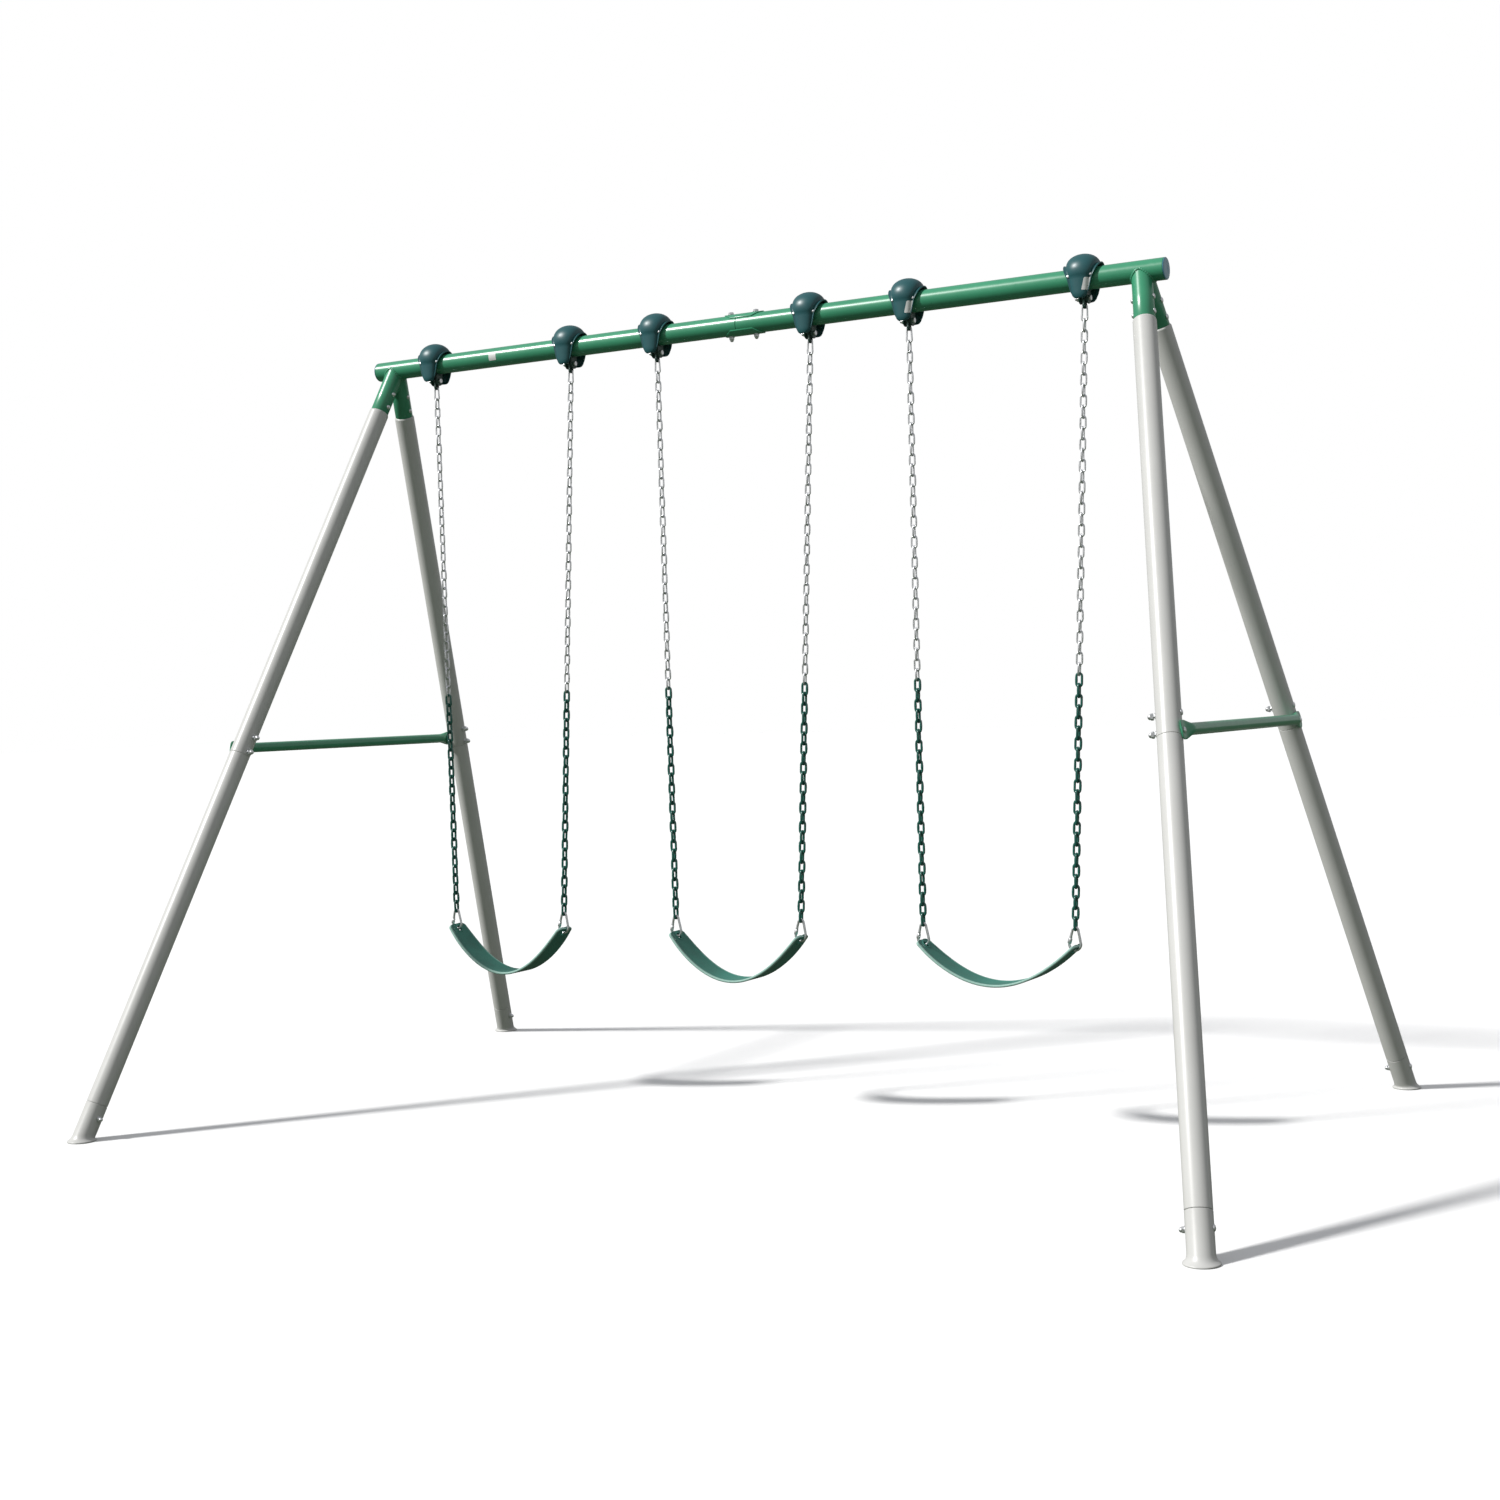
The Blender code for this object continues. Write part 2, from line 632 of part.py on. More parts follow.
def seat_mesh(ring_x):
    """A belt with rounded ends that hangs in a bow between its two eye holes."""
    half, _, slope, sag = hang_belt(ring_x)
    steps = 16
    stations = []
    for i in range(steps + 1):
        part = 2 * i / steps - 1
        lean = math.atan(2 * sag * part / half)
        width = SEAT_HALF_WIDTH + (SEAT_END_HALF_WIDTH - SEAT_HALF_WIDTH) * part ** 8
        stations.append((part * half, sag * (part ** 2 - 1), lean, width))
    tip = []
    for share, width_share in ((0.6, 0.92), (1.0, 0.5)):
        x = half + share * SEAT_TIP * math.cos(slope)
        tip.append((x, share * SEAT_TIP * math.sin(slope), slope, width_share * SEAT_END_HALF_WIDTH))
    mirrored = [(-x, z, -lean, width) for x, z, lean, width in reversed(tip)]
    rings = []
    for x, z, lean, width in mirrored + stations + tip:
        up = Vector((-math.sin(lean), 0, math.cos(lean)))
        thick = SEAT_HALF_THICKNESS
        section = [
            (-width, 0), (-width + thick, -thick), (width - thick, -thick),
            (width, 0), (width - thick, thick), (-width + thick, thick),
        ]
        rings.append([Vector((x, y, z)) + up * height for y, height in section])
    belt = skin(rings)
    holes = []
    for side in (-1, 1):
        hole = turned([(-0.02, SEAT_HOLE_R), (0.02, SEAT_HOLE_R)], HEX_SIDES)
        tilt = Matrix.Rotation(-side * slope, 4, "Y")
        holes.append(moved(hole, Matrix.Translation((side * half, 0, 0)) @ tilt))
    return carved(belt, cuts=holes)


def build_swings(materials):
    zinc = materials["zinc"]
    pendulum = pendulum_mesh()
    ring = snap_ring_mesh()
    pivot_z = BEAM_HEIGHT - PIVOT_DROP
    for number, ring_x in enumerate(RING_X, 1):
        middle = SWING_SPACING * (number - 2)
        _, seat_z, _, _ = hang_belt(ring_x)
        swing = make_empty(f"swing_{number}_axis", (middle, 0, pivot_z))
        seat_axis = make_empty(f"seat_{number}_axis", (middle + SWAY, 0, seat_z))
        for side, name in ((-1, "left"), (1, "right")):
            top, bottom = chain_line(number, side)
            chain = chain_mesh((top - bottom).length - RING_REACH - RING_WIRE - GAP)
            lean = math.atan2(top.x - bottom.x, top.z - bottom.z)
            turn = Matrix.Rotation(lean, 4, "Y")
            drop = Vector((0, 0, -pivot_z))
            hanger = Vector((top.x, 0, BEAM_HEIGHT)) + drop
            place(f"pendulum_{number}_{name}", pendulum, materials["nylon"],
                  Matrix.Translation(hanger), swing)
            place(f"chain_{number}_{name}", chain, zinc, Matrix.Translation(top + drop) @ turn, swing)
            place(f"snap_ring_{number}_{name}", ring, zinc,
                  Matrix.Translation(bottom + drop) @ turn, swing)
        place(f"seat_{number}", seat_mesh(ring_x), materials["seat_rubber"], parent=seat_axis)


def main():
    clear_scene()
    materials = make_materials()
    build_frame(materials)
    build_hangers(materials)
    build_swings(materials)


main()
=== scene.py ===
import math
import random

import bmesh
import bpy
from mathutils import Matrix, Vector


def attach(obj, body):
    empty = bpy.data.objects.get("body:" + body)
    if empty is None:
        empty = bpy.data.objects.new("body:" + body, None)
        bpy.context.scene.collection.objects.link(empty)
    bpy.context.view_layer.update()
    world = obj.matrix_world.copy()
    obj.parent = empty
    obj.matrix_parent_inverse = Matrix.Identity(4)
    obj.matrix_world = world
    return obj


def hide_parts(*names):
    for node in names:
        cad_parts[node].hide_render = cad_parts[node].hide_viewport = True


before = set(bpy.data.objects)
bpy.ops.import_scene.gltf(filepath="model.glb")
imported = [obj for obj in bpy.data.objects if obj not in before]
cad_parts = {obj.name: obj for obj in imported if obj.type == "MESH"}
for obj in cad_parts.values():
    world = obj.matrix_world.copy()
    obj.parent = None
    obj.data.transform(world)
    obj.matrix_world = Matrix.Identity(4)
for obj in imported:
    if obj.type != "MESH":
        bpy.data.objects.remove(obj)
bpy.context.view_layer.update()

# Dimensions shared with the CAD part, in metres
BEAM_HEIGHT = 2.240
BEAM_HALF = 1.264
BEAM_R = 0.0285
BEAM_BORE_R = 0.0265
SEAM_X = 0.027
LEG_TOP_X = 1.201
FOOT_X = 1.604
FOOT_Y = 1.008
LEG_R = 0.030
LEG_WALL = 0.0015
STUB_R = 0.027
STUB_WALL = 0.0015
STUB_RING = 0.149
MID_RING = 1.303
FOOT_RING = 2.380
SPIGOT = 0.076               # how far a leg tube's reduced top enters the piece above
FLANGE_R = 0.040
CROSSBAR_RING_GAP = 0.012
CROSSBAR_R = 0.0145
PAD_HALF_HEIGHT = 0.023
PAD_HALF_THICKNESS = 0.0022
PAD_HALF_LENGTH = 0.013
FLARE_LENGTH = 0.045
PLATE_HALF_LENGTH = 0.061
PLATE_HALF_STRAIGHT = 0.035
PLATE_CENTRE_X = 0.044
PLATE_THICKNESS = 0.0025
PLATE_HALF_ANGLE = math.radians(56)
PLATE_TIP_ANGLE = math.radians(15)
SPLICE_BOLT_X = (0.000, 0.080)
SWING_SPACING = 0.7985
HANGER_HALF = 0.249
PIVOT_DROP = 0.049
EYE_DROP = 0.066
EAR_R = 0.015
EAR_INNER = 0.0085
EAR_THICKNESS = 0.004
STRAP_THICKNESS = 0.0032
STRAP_HALF_WIDTH = 0.014
BOLT_R = 0.004
COVER_R = 0.038
COVER_WALL = 0.0025
COVER_FLANGE_DROP = 0.044
COVER_LOBE_DROP = 0.054
COVER_AT_TOP = (0.051, 0.042, 0.0265)    # half widths of flange and bulge, and the bulge's height
COVER_AT_SIDES = (0.034, 0.026, 0.011)   # the same, level with the beam's axis
COVER_LOBE_LOSS = (0.013, 0.008, 0.003)  # what each loses from there to the end of the lobe
RING_X = (0.199, 0.204, 0.217)
RING_Z = 0.517
SWAY = -0.040
RING_WIRE = 0.0035
RING_LOW_R = 0.016
RING_TOP_R = 0.008
RING_REACH = 0.044
BELT_LENGTH = 0.478
SEAT_HALF_WIDTH = 0.048
SEAT_END_HALF_WIDTH = 0.041
SEAT_HALF_THICKNESS = 0.0035
SEAT_TIP = 0.018
SEAT_HOLE_R = 0.009
EYE_REST = math.radians(70)
GAP = 0.0003

# Dimensions of the details that only the looks have
STUB_ROOT = 0.085            # where the stub's straight surfaces begin, clear of the beam
STUB_BOLTS = (STUB_RING - 0.065, STUB_RING - 0.020)
MID_BOLTS = (MID_RING - 0.058, MID_RING - 0.012)
FOOT_BOLT = 2.417
FOOT_CONE_R = 0.0362         # where the flare leaves the flange
BEAM_LABEL_X = -0.814
WASHER_THICKNESS = 0.0016
COVER_SCREW_X = 0.0298       # from the middle of the cover
COVER_ROUNDING = 0.0135      # height of a lobe's rounded lower end
LINK_WIRE = 0.0025
LINK_HALF_WIDTH = 0.00725    # of the wire's centre line
FIRST_LINK_TOP = 0.036       # its top bar below the pendulum's eye
LINK_COUNT = 57
BARE_LINKS = 33
COATED_WIRE = 0.0034
ROUND = 64

SIDES = ((-1, "left"), (1, "right"))
ENDS = ((-1, "front"), (1, "rear"))
random.seed(7)


# ---------------------------------------------------------------- materials

def new_material(name):
    material = bpy.data.materials.new(name)
    material.use_nodes = True
    tree = material.node_tree
    return material, tree, tree.nodes["Principled BSDF"]


def add(tree, kind, **settings):
    """Add a shader node and set its own settings by name."""
    node = tree.nodes.new(kind)
    for key, value in settings.items():
        setattr(node, key, value)
    return node


def noise_value(tree, coords, scale, detail=3.0, roughness=0.55):
    noise = add(tree, "ShaderNodeTexNoise")
    noise.inputs["Scale"].default_value = scale
    noise.inputs["Detail"].default_value = detail
    noise.inputs["Roughness"].default_value = roughness
    tree.links.new(coords.outputs["Object"], noise.inputs["Vector"])
    return noise.outputs["Fac"]


def remap(tree, value, low, high, to_low, to_high):
    node = add(tree, "ShaderNodeMapRange")
    node.inputs["From Min"].default_value = low
    node.inputs["From Max"].default_value = high
    node.inputs["To Min"].default_value = to_low
    node.inputs["To Max"].default_value = to_high
    tree.links.new(value, node.inputs["Value"])
    return node.outputs["Result"]


def blend_colour(tree, factor, first, second):
    """Mix two colours, each a tuple or a socket."""
    node = add(tree, "ShaderNodeMix", data_type="RGBA")
    tree.links.new(factor, node.inputs["Factor"])
    for socket, colour in ((node.inputs[6], first), (node.inputs[7], second)):
        if isinstance(colour, tuple):
            socket.default_value = (*colour, 1.0)
        else:
            tree.links.new(colour, socket)
    return node.outputs[2]


def shade(colour, factor):
    return tuple(min(1.0, channel * factor) for channel in colour)


def finish_material(tree, shader, height, distance, strength=1.0):
    bump = add(tree, "ShaderNodeBump")
    bump.inputs["Distance"].default_value = distance
    bump.inputs["Strength"].default_value = strength
    tree.links.new(height, bump.inputs["Height"])
    tree.links.new(bump.outputs["Normal"], shader.inputs["Normal"])


def coated_surface(name, colour, roughness, peel_scale, peel_depth, worn=None, coat=0.0,
                   tone=0.10, worn_share=0.68):
    """Paint or plastic: broad tone changes, fine grain in bump and gloss, and scuffs."""
    material, tree, shader = new_material(name)
    coords = add(tree, "ShaderNodeTexCoord")
    broad = noise_value(tree, coords, 6.0, detail=4.0)
    tone_share = remap(tree, broad, 0.3, 0.7, 0.0, 1.0)
    base = blend_colour(tree, tone_share, shade(colour, 1 - tone), shade(colour, 1 + tone))
    patches = noise_value(tree, coords, 55.0, detail=6.0, roughness=0.7)
    wear = remap(tree, patches, worn_share, worn_share + 0.08, 0.0, 1.0)
    if worn is not None:
        base = blend_colour(tree, wear, base, worn)
    tree.links.new(base, shader.inputs["Base Color"])
    grain = noise_value(tree, coords, peel_scale, detail=2.0)
    rough = remap(tree, patches, 0.25, 0.75, roughness * 0.85, roughness * 1.2)
    tree.links.new(rough, shader.inputs["Roughness"])
    shader.inputs["Coat Weight"].default_value = coat
    shader.inputs["Coat Roughness"].default_value = 0.18
    finish_material(tree, shader, grain, peel_depth)
    return material


def zinc_surface(name, colour, roughness):
    """Bright zinc plating: fine spangle and small dull patches."""
    material, tree, shader = new_material(name)
    coords = add(tree, "ShaderNodeTexCoord")
    spangle = add(tree, "ShaderNodeTexVoronoi")
    spangle.inputs["Scale"].default_value = 420.0
    tree.links.new(coords.outputs["Object"], spangle.inputs["Vector"])
    dull = noise_value(tree, coords, 160.0, detail=5.0, roughness=0.65)
    share = remap(tree, dull, 0.35, 0.7, 0.0, 1.0)
    base = blend_colour(tree, share, colour, shade(colour, 0.72))
    tree.links.new(base, shader.inputs["Base Color"])
    rough = remap(tree, dull, 0.3, 0.7, roughness * 0.8, roughness * 1.5)
    tree.links.new(rough, shader.inputs["Roughness"])
    shader.inputs["Metallic"].default_value = 1.0
    finish_material(tree, shader, spangle.outputs["Distance"], 0.00008)
    return material


def seat_surface(name, colour, edge_highlight_colour):
    """Moulded seat rubber: pebbled grain, slight chalking, and a painted highlight that lightens the edges.
    """
    material, tree, shader = new_material(name)
    coords = add(tree, "ShaderNodeTexCoord")
    broad = noise_value(tree, coords, 14.0, detail=5.0)
    share = remap(tree, broad, 0.32, 0.68, 0.0, 1.0)
    base = blend_colour(tree, share, shade(colour, 0.84), shade(colour, 1.14))
    # Painted highlight: a point attribute blends the belt's rims toward a pale colour, as light caught on
    # them, broken up by specks.
    painted_edge_highlight = add(tree, "ShaderNodeAttribute", attribute_name="painted_edge_highlight")
    specks = noise_value(tree, coords, 240.0, detail=3.0)
    speck_share = remap(tree, specks, 0.2, 0.7, 0.65, 1.0)
    highlight_share = add(tree, "ShaderNodeMath", operation="MULTIPLY")
    tree.links.new(painted_edge_highlight.outputs["Fac"], highlight_share.inputs[0])
    tree.links.new(speck_share, highlight_share.inputs[1])
    base = blend_colour(tree, highlight_share.outputs["Value"], base, edge_highlight_colour)
    tree.links.new(base, shader.inputs["Base Color"])
    rough = remap(tree, broad, 0.3, 0.7, 0.44, 0.58)
    tree.links.new(rough, shader.inputs["Roughness"])
    shader.inputs["Specular IOR Level"].default_value = 0.30
    pebbles = add(tree, "ShaderNodeTexVoronoi")
    pebbles.inputs["Scale"].default_value = 700.0
    tree.links.new(coords.outputs["Object"], pebbles.inputs["Vector"])
    finish_material(tree, shader, pebbles.outputs["Distance"], 0.00025, 0.8)
    return material


GREEN = coated_surface("green_powder_coat", (0.044, 0.285, 0.152), 0.30, 420.0, 0.000015,
                       worn=(0.045, 0.28, 0.14), coat=0.3, tone=0.07)
WHITE = coated_surface("white_powder_coat", (0.57, 0.57, 0.555), 0.34, 380.0, 0.000015,
                       worn=(0.50, 0.50, 0.48), tone=0.03, worn_share=0.66)
COVER = coated_surface("cover_plastic", (0.016, 0.090, 0.100), 0.38, 900.0, 0.00002,
                       worn=(0.03, 0.13, 0.13), tone=0.07)
BRACKET = coated_surface("bracket_paint", (0.010, 0.055, 0.040), 0.38, 500.0, 0.00003,
                         worn=(0.02, 0.08, 0.06), tone=0.12)
COATED = coated_surface("chain_coating", (0.010, 0.110, 0.085), 0.26, 260.0, 0.00015,
                        worn=(0.015, 0.14, 0.11), coat=0.6, tone=0.14)
NYLON = coated_surface("nylon", (0.012, 0.050, 0.040), 0.45, 700.0, 0.00003,
                       worn=(0.03, 0.08, 0.07), tone=0.10)
# Painted reflection: the end caps' blue stands in for the sky mirrored in their flat outer faces.
CAP_PAINTED_SKY = coated_surface("end_cap_painted_sky_blue", (0.085, 0.265, 0.375), 0.30, 800.0, 0.00002,
                     worn=(0.13, 0.31, 0.40), coat=0.3, tone=0.06)
LABEL = coated_surface("label_film", (0.68, 0.69, 0.68), 0.42, 900.0, 0.00001,
                       worn=(0.56, 0.57, 0.56), tone=0.03, worn_share=0.63)
ZINC = zinc_surface("zinc", (0.92, 0.93, 0.95), 0.34)
# The second colour is the painted highlight along the belt's rims.
SEAT = seat_surface("seat_rubber", (0.044, 0.205, 0.158), (0.32, 0.50, 0.44))


# ---------------------------------------------------------------- mesh helpers

class Shape:
    """Collects the points and faces of one mesh."""

    def __init__(self):
        self.points = []
        self.faces = []

    def loft(self, rings, wrap=False, matrix=None):
        """Skin closed rings of points. wrap joins the last to the first, else the ends are capped."""
        start = len(self.points)
        count = len(rings[0])
        for ring in rings:
            for point in ring:
                self.points.append(matrix @ point if matrix else point)
        pairs = [(i, i + 1) for i in range(len(rings) - 1)]
        if wrap:
            pairs.append((len(rings) - 1, 0))
        else:
            self.faces.append([start + k for k in range(count)])
            last = start + (len(rings) - 1) * count
            self.faces.append([last + k for k in range(count)])
        for a, b in pairs:
            for k in range(count):
                n = (k + 1) % count
                self.faces.append([start + a * count + k, start + a * count + n,
                                   start + b * count + n, start + b * count + k])
        return self

    def join(self, other, matrix):
        start = len(self.points)
        self.points += [matrix @ point for point in other.points]
        self.faces += [[start + k for k in face] for face in other.faces]
        return self

    def mesh(self, name):
        mesh = bpy.data.meshes.new(name)
        mesh.from_pydata(self.points, [], self.faces)
        bm = bmesh.new()
        bm.from_mesh(mesh)
        bmesh.ops.recalc_face_normals(bm, faces=bm.faces)
        bm.to_mesh(mesh)
        bm.free()
        return mesh


def circle(radius, height, sides=ROUND):
    turns = [math.tau * k / sides for k in range(sides)]
    return [Vector((radius * math.cos(a), radius * math.sin(a), height)) for a in turns]


def hexagon(apothem, height, sides=24):
    points = []
    for k in range(sides):
        angle = math.tau * k / sides
        off_flat = (angle + math.pi / 6) % (math.pi / 3) - math.pi / 6
        radius = apothem / math.cos(off_flat)
        points.append(Vector((radius * math.cos(angle), radius * math.sin(angle), height)))
    return points


def turned(profile, sides=ROUND, wrap=False, matrix=None):
    """Turn (height, radius) pairs about local Z."""
    return Shape().loft([circle(r, h, sides) for h, r in profile], wrap, matrix)


def sweep(path, radii, sides=10, flat=None):
    """A round wire along a closed path. flat is a direction that the path never follows."""
    rings = []
    count = len(path)
    for i in range(count):
        along = (path[(i + 1) % count] - path[i - 1]).normalized()
        side = (flat or Vector((0, 1, 0))).cross(along).normalized()
        other = along.cross(side)
        radius = radii[i] if isinstance(radii, list) else radii
        ring = []
        for k in range(sides):
            angle = math.tau * k / sides
            ring.append(path[i] + (side * math.cos(angle) + other * math.sin(angle)) * radius)
        rings.append(ring)
    return Shape().loft(rings, wrap=True)


def lay_along_x(x=0.0, y=0.0, z=0.0):
    """Turns what was made along +Z down along +X."""
    return Matrix.Translation((x, y, z)) @ Matrix.Rotation(math.pi / 2, 4, "Y")


def smoothstep(t):
    t = max(0.0, min(1.0, t))
    return t * t * (3 - 2 * t)


def put(name, mesh, material, body, nodes=(), matrix=None, sharp=38):
    """Make the piece, put it in place, and let it ride on its body."""
    if not mesh.materials:
        mesh.shade_smooth()
        mesh.set_sharp_from_angle(angle=math.radians(sharp))
        mesh.materials.append(material)
    item = bpy.data.objects.new(name, mesh)
    bpy.context.scene.collection.objects.link(item)
    item.matrix_world = matrix or Matrix.Identity(4)
    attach(item, body)
    if nodes:
        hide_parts(*nodes)
    return item


# ---------------------------------------------------------------- fasteners, made along +Z from a surface

def washer(radius=0.0085):
    edge = 0.0003
    return turned([(0, radius - edge), (edge, radius), (WASHER_THICKNESS - edge, radius),
                   (WASHER_THICKNESS, radius - edge)], 32)


def dome_nut(apothem=0.0062, neck=0.0):
    """An acorn nut on its washer; neck is a length of bare bolt between the two."""
    shape = washer()
    base = WASHER_THICKNESS + neck
    if neck:
        shape.loft([circle(BOLT_R, 0.0010, 24), circle(BOLT_R, base + 0.0002, 24)])
    rings = [hexagon(apothem * 0.94, base), hexagon(apothem, base + 0.0007),
             hexagon(apothem, base + 0.0058)]
    dome_r = apothem * 0.92
    rings.append(circle(dome_r, base + 0.0066, 24))
    for k in range(1, 7):
        angle = math.pi / 2 * k / 6.4
        rings.append(circle(dome_r * math.cos(angle), base + 0.0072 + dome_r * math.sin(angle), 24))
    shape.loft(rings)
    return shape


def round_head(radius=0.0078, height=0.0042):
    """A carriage bolt's low domed head."""
    profile = [(0, radius * 0.97), (0.0007, radius)]
    for k in range(1, 7):
        angle = math.pi / 2 * k / 6.4
        profile.append((0.0007 + (height - 0.0007) * math.sin(angle), radius * math.cos(angle)))
    return turned(profile, 32)


def hex_head(apothem=0.0065, height=0.0052):
    """A bolt head with chamfered corners, on a washer."""
    shape = washer(0.0088)
    base = WASHER_THICKNESS
    shape.loft([hexagon(apothem, base), hexagon(apothem, base + height - 0.0008),
                circle(apothem * 0.98, base + height, 24)])
    return shape


def pan_screw(radius=0.0042, height=0.0024):
    """A pan-head screw. Its recess is left out."""
    profile = [(-0.002, 0.0021), (0, 0.0021), (0, radius * 0.96), (0.0005, radius)]
    for k in range(1, 6):
        angle = math.pi / 2 * k / 5.6
        profile.append((0.0005 + (height - 0.0005) * math.sin(angle), radius * math.cos(angle)))
    return turned(profile, 24)


def facing(point, direction):
    """A matrix whose +Z leaves point in that direction."""
    return Matrix.Translation(point) @ direction.to_track_quat("Z", "Y").to_matrix().to_4x4()


# ---------------------------------------------------------------- frame

def leg_matrix(side_x, side_y):
    """Local +Z runs down the leg from the beam axis; local X stays near world X."""
    top = Vector((side_x * LEG_TOP_X, 0, BEAM_HEIGHT))
    foot = Vector((side_x * FOOT_X, side_y * FOOT_Y, 0))
    down = (foot - top).normalized()
    across = (Vector((1, 0, 0)) - down * down.x).normalized()
    third = down.cross(across)
    rotation = Matrix((across, third, down)).transposed().to_4x4()
    return Matrix.Translation(top) @ rotation


def stub_start(matrix, angle, radius):
    """How far down the stub's own line its surface leaves the beam or meets the other stub."""
    origin = matrix @ Vector((radius * math.cos(angle), radius * math.sin(angle), 0))
    down = matrix.to_3x3() @ Vector((0, 0, 1))
    y, z = origin.y, origin.z - BEAM_HEIGHT
    a = down.y ** 2 + down.z ** 2
    b = 2 * (y * down.y + z * down.z)
    c = y * y + z * z - BEAM_R ** 2
    leaves_beam = (-b + math.sqrt(b * b - 4 * a * c)) / (2 * a)
    meets_other = -y / down.y
    return max(leaves_beam, meets_other)


def beam_shape(side_x):
    """Half of the beam with its two welded leg stubs and their weld beads."""
    seam = SEAM_X + side_x * GAP / 2
    end = side_x * BEAM_HALF
    low, high = sorted((seam, end))
    edge = 0.0013
    profile = [(low, BEAM_BORE_R), (low, BEAM_R - edge), (low + edge, BEAM_R),
               (high - edge, BEAM_R), (high, BEAM_R - edge), (high, BEAM_BORE_R)]
    shape = turned(profile, ROUND, True, lay_along_x(z=BEAM_HEIGHT))
    inner = STUB_R - STUB_WALL
    for side_y, _ in ENDS:
        matrix = leg_matrix(side_x, side_y)
        angles = [math.tau * k / ROUND for k in range(ROUND)]
        starts = [stub_start(matrix, a, STUB_R) for a in angles]
        rings = [[matrix @ Vector((STUB_R * math.cos(a), STUB_R * math.sin(a), s - 0.003))
                  for a, s in zip(angles, starts)]]
        for height, radius in ((STUB_ROOT, STUB_R), (STUB_RING - 0.0008, STUB_R),
                               (STUB_RING, STUB_R - 0.0006), (STUB_RING, inner), (STUB_ROOT, inner)):
            rings.append([matrix @ p for p in circle(radius, height)])
        shape.loft(rings)
        bead = []
        radii = []
        turns = 180
        for k in range(turns):
            a = math.tau * k / turns
            s = stub_start(matrix, a, STUB_R)
            bead.append(matrix @ Vector((STUB_R * math.cos(a), STUB_R * math.sin(a), s)))
            radii.append(0.0034 + 0.00022 * math.sin(k * math.tau / 5) + 0.0003 * random.random())
        shape.join(sweep(bead, radii, 10, matrix.to_3x3() @ Vector((0, 0, 1))), Matrix())
    return shape


def splice_plate_shape(flip):
    """A curved plate with chamfered, slightly rounded edges over the seam."""
    inner = BEAM_R + GAP
    outer = inner + PLATE_THICKNESS
    rings = []
    steps = 40
    edge = 0.0007
    for i in range(steps + 1):
        angle = PLATE_HALF_ANGLE * (2 * i / steps - 1)
        slant = max(0.0, (abs(angle) - PLATE_TIP_ANGLE) / (PLATE_HALF_ANGLE - PLATE_TIP_ANGLE))
        half = PLATE_HALF_LENGTH + (PLATE_HALF_STRAIGHT - PLATE_HALF_LENGTH) * slant
        lift = edge * max(0.0, 1 - (steps / 2 - abs(i - steps / 2)))
        section = ((-half, inner), (half, inner), (half, outer - edge), (half - edge, outer - lift),
                   (-half + edge, outer - lift), (-half, outer - edge))
        rings.append([Vector((x, r * math.sin(angle), flip * r * math.cos(angle)))
                      for x, r in section])
    return Shape().loft(rings)


def end_cap_shape():
    """A disc with a soft rim and a slight crown, and its plug inside the tube."""
    plug = BEAM_BORE_R - GAP
    profile = [(-0.015, plug - 0.002), (-0.015, plug), (GAP, plug), (GAP, BEAM_R - 0.0004),
               (0.0008, BEAM_R), (0.0018, BEAM_R - 0.0002), (0.0025, BEAM_R - 0.0012),
               (0.0028, BEAM_R - 0.003), (0.0028, 0.008), (0.0024, 0.0055), (0.0024, 0.0004)]
    return turned(profile)


def leg_tube_shape(spigot_r, start, end, shoulder):
    """A tube reduced at its top to enter the piece above; shoulder is the reduction's length."""
    inner = LEG_R - LEG_WALL
    top = start + GAP
    profile = [(start - SPIGOT, spigot_r - 0.0006), (start - SPIGOT + 0.0006, spigot_r), (top, spigot_r)]
    for k in range(1, 7):
        angle = math.pi / 2 * k / 6
        profile.append((top + shoulder * (1 - math.cos(angle)),
                        spigot_r + (LEG_R - spigot_r) * math.sin(angle)))
    profile += [(end - 0.0008, LEG_R), (end, LEG_R - 0.0007), (end, inner), (start + 0.02, inner),
                (start + 0.01, spigot_r - LEG_WALL), (start - SPIGOT, spigot_r - LEG_WALL)]
    return turned(profile, ROUND, True)


def lower_leg_shape():
    """As the upper leg, and its lower end enters the foot."""
    spigot_r = LEG_R - LEG_WALL - GAP
    shape = leg_tube_shape(spigot_r, MID_RING, FOOT_RING - GAP - 0.0012, 0.0016)
    shape.join(turned([(FOOT_RING - 0.03, spigot_r - 0.0002), (FOOT_RING + 0.05, spigot_r - 0.0002)]),
               Matrix())
    return shape


